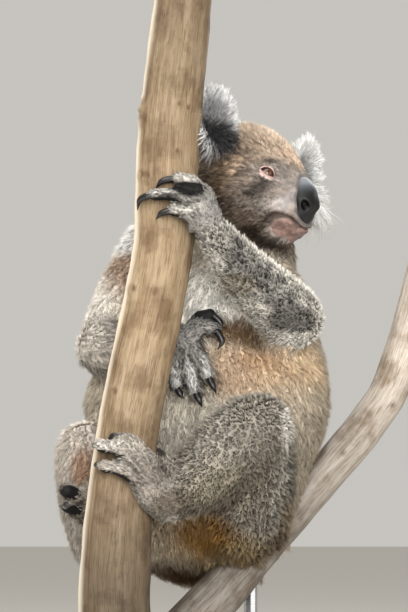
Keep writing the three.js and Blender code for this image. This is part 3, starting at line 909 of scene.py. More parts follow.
BODY_MARKS = [  # nodes, middle and radii in millimetres, strength, colour
    (("torso",), (95, -35, 420), (60, 50, 26), 0.98, (255, 226, 190)),  # tan band under the near arm
    (("torso",), (62, -45, 404), (50, 40, 24), 0.60, (206, 174, 138)),
    (("torso",), (97, -39, 384), (40, 50, 22), 0.60, (222, 206, 184)),
    (("torso",), (-34, -43, 361), (50, 50, 60), 0.90, (250, 240, 222)),  # belly
    (("torso", "neck"), (2, -34, 490), (60, 60, 38), 0.95, (255, 251, 242)),  # chest
    (("torso",), (28, -50, 418), (30, 34, 30), 0.80, (204, 176, 148)),  # streaked brown by the far hand
    (("torso",), (58, -50, 426), (26, 30, 12), 0.70, (196, 160, 124)),
    (("torso",), (30, -46, 455), (30, 30, 13), 1.00, (116, 92, 70)),  # brown fur and painted shade in the crease under the near arm
    (("torso",), (60, -47, 446), (30, 30, 11), 1.00, (104, 84, 60)),
    (("torso",), (94, -40, 441), (18, 30, 4), 0.55, (170, 136, 104)),
    (("torso",), (105, 0, 320), (60, 60, 50), 0.40, (190, 180, 160)),
    (("torso",), (60, 0, 232), (50, 60, 26), 0.80, (164, 148, 122)),  # rump
    (("torso",), (-40, -20, 246), (30, 60, 26), 0.80, (196, 176, 146)),
    (("torso", "thigh_left"), (20, -30, 226), (50, 50, 24), 0.95, (160, 139, 104)),
    (("torso", "thigh_left", "shank_left"), (-2, -40, 250), (34, 46, 22), 0.90, (142, 101, 42)),  # rust stain
    # darkest where the rump sits on the wood: stain and painted shadow of the gap between rump and wood
    (("torso", "thigh_left"), (-36, -2, 204), (42, 60, 14), 1.00, (84, 58, 28)),
    (("upper_arm_right", "torso"), (-72, 0, 515), (26, 30, 32), 0.75, (158, 124, 96)),  # brown far shoulder
    (("upper_arm_right", "torso", "neck"), *WHITE_TUFT, 1.00, (252, 250, 246)),
    (("upper_arm_right",), (-114, -16, 440), (34, 40, 24), 0.80, (172, 164, 154)),
    # pale fur with painted rim light along the outer edge of the far arm
    (("upper_arm_right",), (-122, -16, 486), (26, 40, 40), 0.80, (254, 248, 240)),
    (("shank_right", "right_foot"), (-122, -56, 316), (13, 24, 24), 0.80, (146, 106, 74)),  # inside the knee
    (("thigh_left", "shank_left"), (52, -105, 332), (34, 60, 52), 0.70, (144, 136, 124)),  # mid thigh
    (("thigh_left", "shank_left"), (30, -110, 286), (50, 60, 30), 0.70, (158, 148, 129)),
    (("shank_left",), (-2, -122, 282), (22, 30, 18), 0.70, (166, 156, 137)),
    (("thigh_left",), (102, -44, 344), (15, 60, 28), 0.85, (222, 212, 192)),  # flank behind the thigh
    (("thigh_left",), (96, -44, 300), (15, 60, 22), 0.85, (150, 144, 132)),
    (("thigh_left",), (90, -28, 262), (17, 60, 22), 0.85, (172, 154, 128)),
    (("thigh_left",), (82, -14, 236), (20, 60, 16), 0.85, (122, 102, 80)),
    (("thigh_left", "shank_left"), (81, -90, 352), (7, 60, 24), 0.95, (246, 240, 228)),  # its pale edge
    (("thigh_left",), (78, -77, 316), (5.5, 60, 20), 0.75, (226, 221, 208)),
    (("thigh_left",), (71, -62, 276), (5.5, 60, 22), 0.75, (212, 207, 193)),
    (("left_foot",), (-50, -128, 306), (20, 30, 18), 0.60, (112, 102, 92)),
    (("left_foot", "shank_left"), (-30, -110, 276), (24, 40, 14), 0.80, (116, 104, 90)),
    (("left_foot",), (-94, -124, 332), (16, 20, 9), 0.90, (228, 222, 212)),  # pale toes
    (("left_foot",), (-90, -124, 313), (16, 20, 7), 0.80, (216, 208, 196)),
    (("forearm_left",), (96, -54, 434), (40, 34, 11), 0.85, (255, 250, 240)),  # pale fringe under the elbow
    (("forearm_left",), (28, -105, 490), (24, 24, 12), 0.60, (128, 114, 90)),  # brown fur and painted shade in the crease under the near arm
    (("forearm_left", "left_hand"), (10, -118, 535), (20, 20, 16), 0.60, (188, 182, 172)),  # wrist
    (("left_hand",), (-16, -130, 597), (20, 14, 5.5), 0.90, (214, 208, 198)),  # near fingers, pale above
    (("left_hand",), (-42, -126, 584), (20, 14, 5.5), 0.85, (212, 208, 200)),
    (("left_hand",), (-20, -130, 565), (18, 14, 5.5), 0.80, (204, 200, 190)),
    (("left_hand",), (-12, -128, 581), (15, 14, 5), 1.00, (26, 23, 21)),  # dark gap under the first finger
    (("left_hand",), (-36, -130, 577), (11, 14, 3.4), 0.90, (72, 68, 64)),
    (("torso",), (11, -42, 460), (13, 24, 9), 0.85, (74, 60, 46)),  # shade behind the far fingers
    (("right_hand",), (-13, -62, 400), (6.5, 14, 20), 0.85, (214, 212, 208)),  # and of the far ones
    (("right_hand",), (2, -62, 412), (6.5, 14, 18), 0.80, (206, 204, 200)),
    (("right_hand",), (-28, -60, 404), (6.5, 14, 14), 0.75, (200, 198, 194)),
]


class Layers:
    """Colours laid one over another."""

    def __init__(self, colour):
        self.colour = colour

    def lay(self, share, *rgb):
        self.colour = self.colour + (srgb(*rgb) - self.colour) * np.clip(share, 0, 1)[:, None]


def coat_colour(co, normal, weights):
    """The colour of the hair tips."""
    layers = Layers(weights @ np.array([srgb(*NODE_COLOUR[n]) for n in REPLACED]))
    lay = layers.lay
    torso = np.clip(share_of(weights, "torso", "neck"), 0, 1)
    back = -(normal @ BODY_FORWARD)
    # body: cream front, grey-brown back with a paler mottled rump
    lay(torso * ease(-back, 0.1, 0.7) * 0.9, 226, 214, 194)
    lay(torso * ease(back, 0.2, 0.8) * 0.8, 158, 146, 130)
    mottle = ease(smooth_noise(co, 38, 7), 0.45, 0.65)
    low = ease(-co[:, 2], -0.36, -0.30)
    lay(torso * ease(back, 0.0, 0.5) * low * (0.35 + 0.65 * mottle), 204, 192, 172)
    lay(dark_arm(co, normal, weights), 122, 118, 112)
    for nodes, middle, radii, share, rgb in BODY_MARKS:
        lay(patch(co, middle, radii) * share * np.clip(share_of(weights, *nodes), 0, 1), *rgb)
    head_colour(layers, weights, to_head(co))
    ear_colour(layers, weights, co, normal)
    return np.clip(layers.colour, 0.002, 1)


def dark_arm(co, normal, weights):
    """The pepper-and-salt band along the outside of the near arm."""
    outside = unit(np.array([0.06, -0.98, 0.14]))
    arm = share_of(weights, "forearm_left") + 0.8 * share_of(weights, "upper_arm_left")
    ragged = smooth_noise(co, 120, 31) + 0.6 * smooth_noise(co, 300, 32) - 0.8
    elbow = 0.42 * patch(co, (94, -84, 456), (30, 30, 13))
    fringe = 0.55 * patch(co, (92, -58, 434), (44, 30, 13))
    return np.clip(arm, 0, 1) * ease(normal @ outside + 0.34 * ragged + elbow - fringe, 0.44, 0.92)


FACE_MARKS = [  # middle and radii in millimetres in the head's frame, both sides alike, strength, colour
    ((30, 50, 16), (26, 20, 20), 0.60, (140, 122, 105)),  # side of the forehead
    ((62, 0, 12), (18, 22, 14), 0.80, (152, 138, 125)),
    ((50, 23, 23), (10, 9, 8), 0.70, (146, 128, 112)),  # bridge
    ((60, 22, -4), (16, 14, 16), 0.80, (122, 114, 108)),  # grey between eye and nose
    ((60, 0, 22), (14, 30, 11), 0.70, (218, 190, 162)),  # pale ridge of the crown
    ((49, 34, 8.5), (8, 8, 3.4), 0.80, (62, 55, 51)),  # brow
    ((36, 57, -5), (9, 10, 3.4), 0.85, (70, 63, 58)),  # line from the outer corner of the eye
    ((30, 63, -11), (8, 9, 3.8), 0.85, (66, 59, 54)),
    ((50, 42, -16), (11, 9, 5), 0.70, (92, 85, 80)),
    ((46, 46, -22), (11, 10, 6.5), 0.85, (58, 53, 50)),  # streaks under the eye
    ((41, 51, -29), (9, 8, 6.5), 0.85, (54, 49, 46)),
    ((33, 59, -36), (8, 8, 4.5), 0.70, (128, 118, 107)),
    ((38, 48, -41), (11, 10, 5), 0.70, (104, 96, 90)),
    ((47, 44, -36), (8, 8, 5), 0.70, (112, 106, 100)),
    ((29, 61, -39), (5, 7, 3.5), 0.80, (146, 134, 122)),
    ((20, 66, -38), (9, 10, 8), 0.65, (92, 78, 65)),
    ((28, 50, -52), (16, 14, 7), 0.85, (152, 134, 117)),
    ((37, 39, -57), (9, 10, 5), 0.80, (134, 117, 101)),
    ((44, 21, -67), (9, 9, 6), 0.98, (240, 228, 214)),
    ((15, 67, 5), (16, 14, 20), 0.95, (212, 184, 156)),  # brown in front of the ear
    ((7, 73, -24), (15, 16, 20), 0.65, (158, 132, 106)),
    ((34, 30, -64), (12, 20, 7), 0.80, (76, 63, 52)),  # shadowed jaw behind the lip
    ((61, 30, -37), (12, 10, 7), 1.00, (164, 158, 154)),  # white beside the nose
    ((52, 36, -41), (9, 8, 4.5), 0.75, (170, 158, 150)),
    ((67, 24, -27), (6, 7, 7), 0.80, (140, 134, 132)),
    ((56, 33, -50), (9, 7, 4), 0.75, (84, 68, 60)),
    ((53.5, 34, -9.5), (4.5, 4.5, 3.2), 0.90, (208, 194, 188)),  # pale corners of the eye
    ((40.5, 48.5, -1.5), (4, 4.5, 2.8), 0.80, (192, 180, 174)),
    ((47, 22, -69), (10, 9, 8), 0.90, (186, 174, 162)),  # pale fringe of the chin
    ((50, 8, -72), (12, 18, 6), 0.90, (176, 168, 158)),
    # grey fur and painted shadow of the throat under the chin
    ((40, 8, -78), (18, 26, 8), 0.90, (84, 84, 82)),
]


def head_colour(layers, weights, local):
    head = np.clip(share_of(weights, "head"), 0, 1)
    q = np.stack([local[:, 0], np.abs(local[:, 1]), local[:, 2]], axis=1)

    def lay(share, *rgb):
        layers.lay(share * head, *rgb)

    lay(ease(-local[:, 0], 0.004, 0.034) * 0.8, 176, 164, 150)  # the back of the head is like the neck
    lay(ease(local[:, 0], 0.020, 0.050) * 0.65, 138, 129, 122)  # the front of the face is greyer
    lay(ease(local[:, 2], 0.000, 0.030), 202, 180, 157)  # warm crown
    # paler at the very top of the head: pale fur with painted light from above
    lay(ease(local[:, 2], 0.035, 0.070) * 0.6, 226, 206, 184)
    for middle, radii, share, rgb in FACE_MARKS:
        lay(patch(q, middle, radii, 0.6) * share, *rgb)
    d, _ = distance_to_line(local, MOUTH)
    lay(np.exp(-((d / 0.0034) ** 2)) * 0.85 * (q[:, 1] > 0.016), 56, 43, 36)
    for side in (-1, 1):
        _, _, inside, away = eye_opening(local, side)
        near = (np.linalg.norm(away, axis=1) < 0.016).astype(float)
        lay(ease(inside, -4.6, -2.8) * near * 0.8, 198, 184, 178)
    lay(lip_share(local), 170, 152, 144)
    streaks = smooth_noise(local * (0.45, 1, 1), 380, 21)
    streaks = streaks + 0.6 * smooth_noise(local * (0.5, 1, 1), 170, 22)
    layers.colour = layers.colour * (1 + 0.62 * (streaks / 1.6 - 0.5) * head * 2)[:, None]


def ear_colour(layers, weights, co, normal):
    for side, name in ((1, "ear_left"), (-1, "ear_right")):
        local = to_ear(co, side) / MM
        ear = share_of(weights, name)
        centre = ease(-np.hypot(local[:, 1], local[:, 2]), -24, -14)
        low = ease(-local[:, 2], -4, 10) * ease(-local[:, 1] * side, -14, 2) * (side < 0)
        layers.lay(np.clip(0.6 * centre + low, 0, 1) * ear, 50, 49, 50)
        facing = normal @ np.array(ear_frame(side))[:3, 0]
        layers.lay(ease(-facing, 0.2, 0.7) * ear * 0.7, 150, 138, 126)


def pepper_share(co, normal, weights):
    pepper = weights @ np.array([PEPPER[n] for n in REPLACED])
    return pepper + (1.05 - pepper) * dark_arm(co, normal, weights)


def bare_colour(colour, co, bare, weights):
    """Skin where nothing grows: pink lids and lip, dark wet line of the mouth, black pads."""
    local = to_head(co)
    layers = Layers(colour)
    lay = layers.lay
    for side in (-1, 1):
        _, _, inside, away = eye_opening(local, side)
        near = (np.linalg.norm(away, axis=1) < 0.016).astype(float)
        lay(near * ease(inside, -4.2, -2.8), 176, 158, 150)
        lay(near * ease(inside, -1.9, -0.9), 160, 124, 118)
        lay(near * ease(inside, -0.75, -0.15), 66, 40, 36)
    lay(lip_share(local) * ease(share_of(weights, "head"), 0.3, 0.7), 128, 103, 96)
    lay(lip_share(local) * 0.6 * ease(smooth_noise(co, 330, 11), 0.40, 0.7), 92, 76, 71)
    d, t = distance_to_line(local, MOUTH)
    lay(np.exp(-((d / 0.0024) ** 2)) * ease(t, 0.0, 0.1), 40, 27, 24)
    lay(ease(-nose_distance(local), -0.0018, -0.0006), 84, 80, 80)
    lay(ease(-nose_distance(local), 0.0006, 0.0016), 4, 4, 4)  # painted shade on the skin that shows through the nostrils
    lay(ease(share_of(weights, *PAWS), 0.4, 0.8) * ease(bare, 0.15, 0.6), 12, 11, 11)
    return layers.colour


# ---- materials

def new_material(name, roughness=0.6, **constants):
    material = bpy.data.materials.new(name)
    material.use_nodes = True
    shader = material.node_tree.nodes["Principled BSDF"]
    shader.inputs["Roughness"].default_value = roughness
    for key, value in constants.items():
        shader.inputs[key.replace("_", " ")].default_value = value
    return material, material.node_tree, shader


def new_node(tree, kind, vector=None, **constants):
    """A new shader node, its Vector linked and its inputs set."""
    made = tree.nodes.new("ShaderNode" + kind)
    for key, value in constants.items():
        made.inputs[key.replace("_", " ")].default_value = value
    if vector:
        tree.links.new(vector, made.inputs["Vector"])
    return made


def feed(tree, socket, value):
    """Links a socket or sets it to a constant."""
    if isinstance(value, bpy.types.NodeSocket):
        tree.links.new(value, socket)
    else:
        socket.default_value = value


def attribute(tree, name, kind="Color"):
    made = new_node(tree, "Attribute")
    made.attribute_name = name
    return made.outputs[kind]


def bumps(tree, shader, height, strength, distance):
    bump = new_node(tree, "Bump", Strength=strength, Distance=distance)
    tree.links.new(height, bump.inputs["Height"])
    tree.links.new(bump.outputs["Normal"], shader.inputs["Normal"])


def noise(tree, vector, scale, detail=3.0, roughness=0.55):
    made = new_node(tree, "TexNoise", vector, Scale=scale, Detail=detail, Roughness=roughness)
    return made.outputs["Fac"]


def ramp(tree, value, stops):
    made = new_node(tree, "ValToRGB")
    points = made.color_ramp.elements
    while len(points) < len(stops):
        points.new(0.5)
    for point, (at, rgb) in zip(points, stops):
        point.position = at
        point.color = (*srgb(*rgb), 1)
    tree.links.new(value, made.inputs["Fac"])
    return made.outputs["Color"]


def mixed(tree, share, a, b, how="MIX"):
    made = new_node(tree, "Mix")
    made.data_type, made.blend_type = "RGBA", how
    for socket, value in ((made.inputs["Factor"], share), (made.inputs[6], a), (made.inputs[7], b)):
        feed(tree, socket, value)
    return made.outputs[2]


def maths(tree, how, a, b=0.0, c=0.0):
    made = new_node(tree, "Math")
    made.operation = how
    for socket, value in zip(made.inputs, (a, b, c)):
        feed(tree, socket, value)
    return made.outputs[0]


def object_place(tree):
    return new_node(tree, "TexCoord").outputs["Object"]


# ---- growing the coat

def triangles_of(mesh):
    mesh.calc_loop_triangles()
    out = np.empty(len(mesh.loop_triangles) * 3, np.int32)
    mesh.loop_triangles.foreach_get("vertices", out)
    return out.reshape(-1, 3)


HAIR_BEND = math.radians(34)  # from root to tip
STRAYS = 0.05  # share of the hairs that stand apart
ROOT_DEPTH = 0.0008  # how far a root is sunk in the skin, in metres
CORNERS = 3  # round each ring of a tuft
PATCH_HALF, PATCH_TALL = 0.0013, 0.0026  # a tuft's patch of the bake map


def sow(triangles, co, density, count):
    """Random points on the triangles: their triangle's corners and the share of each corner."""
    a, b, c = (co[triangles[:, i]] for i in range(3))
    area = np.linalg.norm(np.cross(b - a, c - a), axis=1) / 2 * density
    pick = chance.choice(len(triangles), count, p=area / area.sum())
    u, v = chance.random(count), chance.random(count)
    flip = u + v > 1
    u[flip], v[flip] = 1 - u[flip], 1 - v[flip]
    return triangles[pick], np.stack([1 - u - v, u, v], axis=1)


def hair_path(at, t, rise, curl_turn, length):
    """Where each hair is at share t of its length."""
    angle = rise + HAIR_BEND * (0.5 - t)
    lie = at["lie"] * np.cos(curl_turn)[:, None]
    lie = lie + np.cross(at["normal"], at["lie"]) * np.sin(curl_turn)[:, None]
    reach = length * t
    upwards = at["normal"] * (reach * np.sin(angle))[:, None]
    return at["co"] + lie * (reach * np.cos(angle))[:, None] + upwards


def fine_haired(weights):
    """The head, the near forearm, the hands and the feet, whose single hairs show as flecks."""
    return share_of(weights, "head", "forearm_left", *PAWS)


def unwrap(points, middle, low, high):
    """Turn about an upright axis and height along it, both from 0 to 1."""
    local = points - middle
    turn = np.arctan2(local[:, 1], local[:, 0]) / (2 * np.pi) + 0.5
    height = (local[:, 2] - low) / (high - low)
    return np.stack([0.01 + 0.98 * turn, np.clip(0.01 + 0.98 * height, 0.01, 0.99)], axis=1)


TUFTS = {  # shares of the length where each tuft has a ring, and its girth there
    "short": ((0, 1), (1.25, 0)),
    "long": ((0, 0.34, 0.68, 1), (0.85, 1.0, 0.66, 0)),
}


def lock_seeds(co, spacing):
    """Numbers of the hairs that each lead one lock, none nearer than its spacing allows."""
    step = spacing.max()
    _, few = np.unique(np.floor(co / (0.4 * step)).astype(int), axis=0, return_index=True)
    few = few[np.argsort(chance.random(len(few)))]
    taken, seeds = {}, []
    for i, p, least in zip(few.tolist(), co[few].tolist(), ((0.82 * spacing[few]) ** 2).tolist()):
        x, y, z = (int(math.floor(v / step)) for v in p)
        near = [q for a in (-1, 0, 1) for b in (-1, 0, 1) for c in (-1, 0, 1)
                for q in taken.get((x + a, y + b, z + c), ())]
        if all((p[0] - q[0]) ** 2 + (p[1] - q[1]) ** 2 + (p[2] - q[2]) ** 2 > least for q in near):
            taken.setdefault((x, y, z), []).append(p)
            seeds.append(i)
    return np.array(seeds)


def tuft_faces(layers):
    """The triangles of one tuft with three corners to a ring: its root, its sides and its point."""
    faces = [(0, 2, 1)]
    for k in range(layers):
        for j in range(CORNERS):
            a, b = CORNERS * k + j, CORNERS * k + (j + 1) % CORNERS
            if k == layers - 1:
                faces.append((a, b, CORNERS * layers))
            else:
                faces += [(a, b, b + CORNERS), (a, b + CORNERS, a + CORNERS)]
    return np.array(faces)


def joined_tufts(name, verts, faces):
    """One mesh of all the tufts, whose corners are verts[tuft, corner]."""
    count, per, _ = verts.shape
    tris = (np.arange(count)[:, None, None] * per + faces[None]).reshape(-1, 3)
    mesh = bpy.data.meshes.new(name)
    mesh.vertices.add(count * per)
    mesh.vertices.foreach_set("co", verts.astype(np.float32).ravel())
    mesh.loops.add(len(tris) * 3)
    mesh.loops.foreach_set("vertex_index", tris.astype(np.int32).ravel())
    mesh.polygons.add(len(tris))
    mesh.polygons.foreach_set("loop_start", np.arange(0, len(tris) * 3, 3, dtype=np.int32))
    mesh.update(calc_edges=True)
    mesh.shade_smooth()
    return mesh, tris


def bake_map(mesh, tris, home, stations):
    """Gives each tuft a small patch of the map where its root is on the unwrapped skin."""
    across = np.array([(-PATCH_HALF, 0.0), (PATCH_HALF, 0.0), (0.0, 0.0006)])
    spots = [across[k] * (1 - 0.4 * t) + (0, 0.0022 * t) for t in stations[:-1] for k in range(CORNERS)]
    spots = np.array(spots + [(0, PATCH_TALL)])
    uv = (home[:, None] + spots[None]).reshape(-1, 2)[tris.ravel()]
    mesh.uv_layers.new(name="OFBake").data.foreach_set("uv", uv.astype(np.float32).ravel())


def grow(name, triangles, count, wrap, kind, density):
    """One piece of the coat, gathered into locks."""
    faces, share = sow(triangles, field.co, density, count)
    at = field.at(faces, share)
    keep = at["bare"] < chance.random(count) * 0.8 + 0.1
    at = {key: value[keep] for key, value in at.items()}
    count = int(keep.sum())
    seeds = lock_seeds(at["co"], at["spacing"])
    tree = KDTree(len(seeds))
    for i, s in enumerate(seeds):
        tree.insert(at["co"][s], i)
    tree.balance()
    nearest = np.array([tree.find(p)[1] for p in at["co"].tolist()])
    seed = {k: v[seeds] for k, v in at.items()}
    seed_turn = chance.normal(0, 1, len(seeds)) * seed["curl"]
    seed_rise = seed["rise"] * (1 + chance.normal(0, 0.18, len(seeds)))
    seed_length = seed["length"] * (1 + chance.normal(0, 0.10, len(seeds)))
    turn = seed_turn[nearest] + chance.normal(0, 1, count) * at["curl"] * 0.5
    rise = at["rise"] * (1 + chance.normal(0, 0.2, count))
    apart = np.linalg.norm(at["co"] - seed["co"][nearest], axis=1) / at["spacing"]
    parting = ease(at["lock"], 0.30, 0.70)  # how far the locks stand apart
    length = at["length"] * np.clip(1 + chance.normal(0, 0.16, count), 0.6, 1.5)
    length = length * (1 - 0.30 * parting * ease(apart, 0.2, 0.6))
    stray = chance.random(count) < STRAYS
    length = np.where(stray, length * (1.1 if kind == "long" else 1.3), length)
    lock = np.where(stray, 0.1, at["lock"] * np.clip(chance.normal(1, 0.2, count), 0.3, 1.3))
    width = at["width"] * np.where(stray, 0.55, np.clip(chance.normal(1, 0.15, count), 0.6, 1.4))
    stations, girth = TUFTS[kind]
    side = np.cross(at["normal"], at["lie"])
    rings = []
    for t, g in zip(stations, girth):
        own = hair_path(at, t, rise, turn, length)
        lead = hair_path(seed, t, seed_rise, seed_turn, seed_length)[nearest]
        middle = own + (lead - own) * (lock * t ** 1.2)[:, None]
        middle = middle - at["normal"] * (ROOT_DEPTH * (1 - t))
        if g == 0:
            rings.append(middle[:, None])
            continue
        corners = []
        for k in range(CORNERS):
            phi = 2 * math.pi * k / CORNERS + 0.5
            corners.append(middle + (side * (math.cos(phi) * g * width / 2)[:, None]
                                     + at["normal"] * (math.sin(phi) * g * 0.7 * width / 2)[:, None]))
        rings.append(np.stack(corners, axis=1))
    layers = len(stations) - 1
    mesh, tris = joined_tufts(name, np.concatenate(rings, axis=1), tuft_faces(layers))
    # colour: painted shade deep in the coat, darker and duller at the root, lighter at the tip
    tip = coat_colour(at["co"], at["normal"], at["weights"])
    pepper = pepper_share(at["co"], at["normal"], at["weights"])
    grains = 0.45 * smooth_noise(at["co"], 290, 3) + 0.55 * chance.random(len(seeds))[nearest]
    grains = grains + chance.normal(0, 0.08, count)
    dark = 1 - 0.80 * np.minimum(pepper, 1) * ease(grains, 0.46 - 0.04 * pepper, 0.62)
    speckle = 0.13 + 0.15 * fine_haired(at["weights"])
    tip = tip * (dark * np.clip(1 + chance.normal(0, 1, count) * speckle, 0.35, 1.6))[:, None]
    # painted shade on the hairs at the edge of each lock
    tip = tip * (1 - 0.42 * parting * ease(apart, 0.28, 0.62))[:, None]
    # painted shade in the creases between fingers and toes
    tip = tip * (1 - 0.72 * ease(at["hollow"], 0.25, 1.1))[:, None]
    # painted shade at the roots in the gaps between locks
    root = (at["root"] * (1 - 0.92 * parting * ease(apart, 0.22, 0.58)))[:, None, None]
    t_of = np.repeat(np.array(stations), [CORNERS] * layers + [1])
    shade = root + (1 - root) * ease(t_of, 0.0, 0.8)[None, :, None]
    paint(mesh, np.clip(tip[:, None] * shade, 0, 1).reshape(-1, 3))
    bake_map(mesh, tris, unwrap(at["co"], *wrap), stations)
    return placed(name, mesh)


fur, tree, shader = new_material("koala_fur", 0.8, Specular_IOR_Level=0.10)
tree.links.new(attribute(tree, "coat"), shader.inputs["Base Color"])

hide, tree, shader = new_material("koala_skin", 0.6, Specular_IOR_Level=0.12)
tree.links.new(attribute(tree, "coat"), shader.inputs["Base Color"])
creases = new_node(tree, "TexVoronoi", object_place(tree), Scale=700)
bumps(tree, shader, creases.outputs["Distance"], 0.35, 0.0004)


def paint_skin():
    tip = coat_colour(field.co, field.normal, field.weights)
    # the skin: painted shade under the coat, painted light on the chest that lies in the shade of the arm and
    # trunk, painted shade in the creases of the hands and feet
    shade = 0.6 + 0.3 * patch(field.co, *CHEST) - 0.45 * ease(field.hollow, 0.25, 1.1)
    paint(skin.data, bare_colour(tip * shade[:, None], field.co, field.bare, field.weights))
    skin.data.materials.append(hide)
    skin.data.shade_smooth()


paint_skin()


def share_out():
    """Triangles of the skin for each piece of the coat."""
    triangles = triangles_of(skin.data)
    middle = field.co[triangles].mean(axis=1)
    weights = field.weights[triangles].mean(axis=1)
    main = weights.argmax(axis=1)
    local = to_head(middle)
    head, torso = is_in(main, "head"), is_in(main, "torso", "neck")
    front = (middle - (0.003, 0.046, 0)) @ BODY_FORWARD > 0
    z = middle[:, 2]
    return triangles, {
        "coat_face": head & (local[:, 0] > 0.012),
        "coat_crown": head & (local[:, 0] <= 0.012),
        "coat_ears": is_in(main, "ear_left", "ear_right"),
        "coat_chest": torso & front,
        "coat_back": torso & ~front & (z > 0.36),
        "coat_rump": torso & ~front & (z <= 0.36),
        "coat_arm_left": is_in(main, "upper_arm_left", "forearm_left", "left_hand"),
        "coat_arm_right": is_in(main, "upper_arm_right", "forearm_right", "right_hand"),
        "coat_leg_left": is_in(main, "thigh_left", "shank_left", "left_foot"),
        "coat_leg_right": is_in(main, "thigh_right", "shank_right", "right_foot"),
    }


SOWN = {  # tufts, their kind and the finish of each piece of the coat
    "coat_face": (44000, "short", "brown_coat"), "coat_crown": (33000, "short", "brown_coat"),
    "coat_ears": (10800, "long", "pale_coat"), "coat_chest": (32000, "short", "pale_coat"),
    "coat_back": (32000, "short", "brown_coat"), "coat_rump": (32000, "short", "brown_coat"),
    "coat_arm_left": (44000, "short", "grey_coat"), "coat_arm_right": (32000, "short", "grey_coat"),
    "coat_leg_left": (47000, "short", "grey_coat"), "coat_leg_right": (32000, "short", "grey_coat"),
}

triangles, pieces = share_out()
for name, chosen in pieces.items():
    mine = triangles[chosen]
    co = field.co[mine].reshape(-1, 3)
    middle = co.mean(axis=0)
    wrap = (middle, (co - middle)[:, 2].min(), (co - middle)[:, 2].max())
    paws = share_of(field.weights, *PAWS)[mine].mean(axis=1)
    count, kind, slot = SOWN[name]
    coat = grow(name, mine, count, wrap, kind, 1 + 2 * paws)
    coat.data.materials.append(fur)
    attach(coat, "root")


# ---- the leathery nose

NOSE_VOXEL = 0.0008
NOSTRIL = (0.0765, 0.0108, -0.0335)  # in the head's frame, in metres
SLIT = (0.45, 0.0, -0.9)


def build_nose():
    eggs = []
    for at, radii in NOSE_EGGS:
        egg = ball_of(40, 24)
        set_places(egg.data, from_head(places(egg.data) * radii + at))
        eggs.append(egg)
    nose = remeshed(joined(eggs, "nose_leather"), NOSE_VOXEL)
    edges = edges_of(nose.data)
    set_places(nose.data, spread(places(nose.data), edges, 110, 0.6))
    co, n = places(nose.data), normals(nose.data)
    local = to_head(co)
    across, down = np.abs(local[:, 1]), -local[:, 2]
    q = (np.stack([local[:, 0], across, local[:, 2]], axis=1) - NOSTRIL) / MM
    slit = unit(np.array(SLIT))
    along_slit = q @ slit
    across_slit = np.linalg.norm(q - np.outer(along_slit, slit), axis=1)
    hole = np.exp(-((across_slit / 3.4) ** 4) - (along_slit / 5.4) ** 4)
    brim = np.exp(-(((across_slit - 5.2) / 1.6) ** 2) - (along_slit / 6.6) ** 2)
    push = -0.0066 * hole + 0.0007 * brim
    push -= 0.0012 * np.exp(-((across / 0.0011) ** 2)) * ease(down, 0.034, 0.044)  # the cleft under it
    push -= 0.0006 * np.exp(-((across / 0.004) ** 2)) * ease(down, 0.012, 0.024)
    co = co + n * push[:, None] + (0.0034 * hole ** 2)[:, None] * HEAD_AXES[:, 2]
    set_places(nose.data, spread(co, edges, 2, 0.4))
    # the leather's own dark grey, with a painted grey-blue sheen on the top and painted shade underneath
    low = ease(down, 0.002, 0.024)[:, None]
    colour = srgb(84, 88, 92) * (1 - low) + srgb(10, 10, 10) * low
    # painted shade: the nostril pits are darkened almost to black
    paint(nose.data, colour * (1 - 0.97 * np.clip(hole * 6.0, 0, 1)[:, None]))
    nose.data.shade_smooth()
    leather, tree, shader = new_material("koala_nose", 0.46, Specular_IOR_Level=0.20)
    tree.links.new(attribute(tree, "coat"), shader.inputs["Base Color"])
    cells = new_node(tree, "TexVoronoi", object_place(tree))
    cells.feature = "DISTANCE_TO_EDGE"
    cells.inputs["Scale"].default_value = 900
    bumps(tree, shader, cells.outputs["Distance"], 0.5, 0.0004)
    nose.data.materials.append(leather)
    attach(nose, "root")
    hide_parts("nose")


build_nose()


# ---- eyeballs

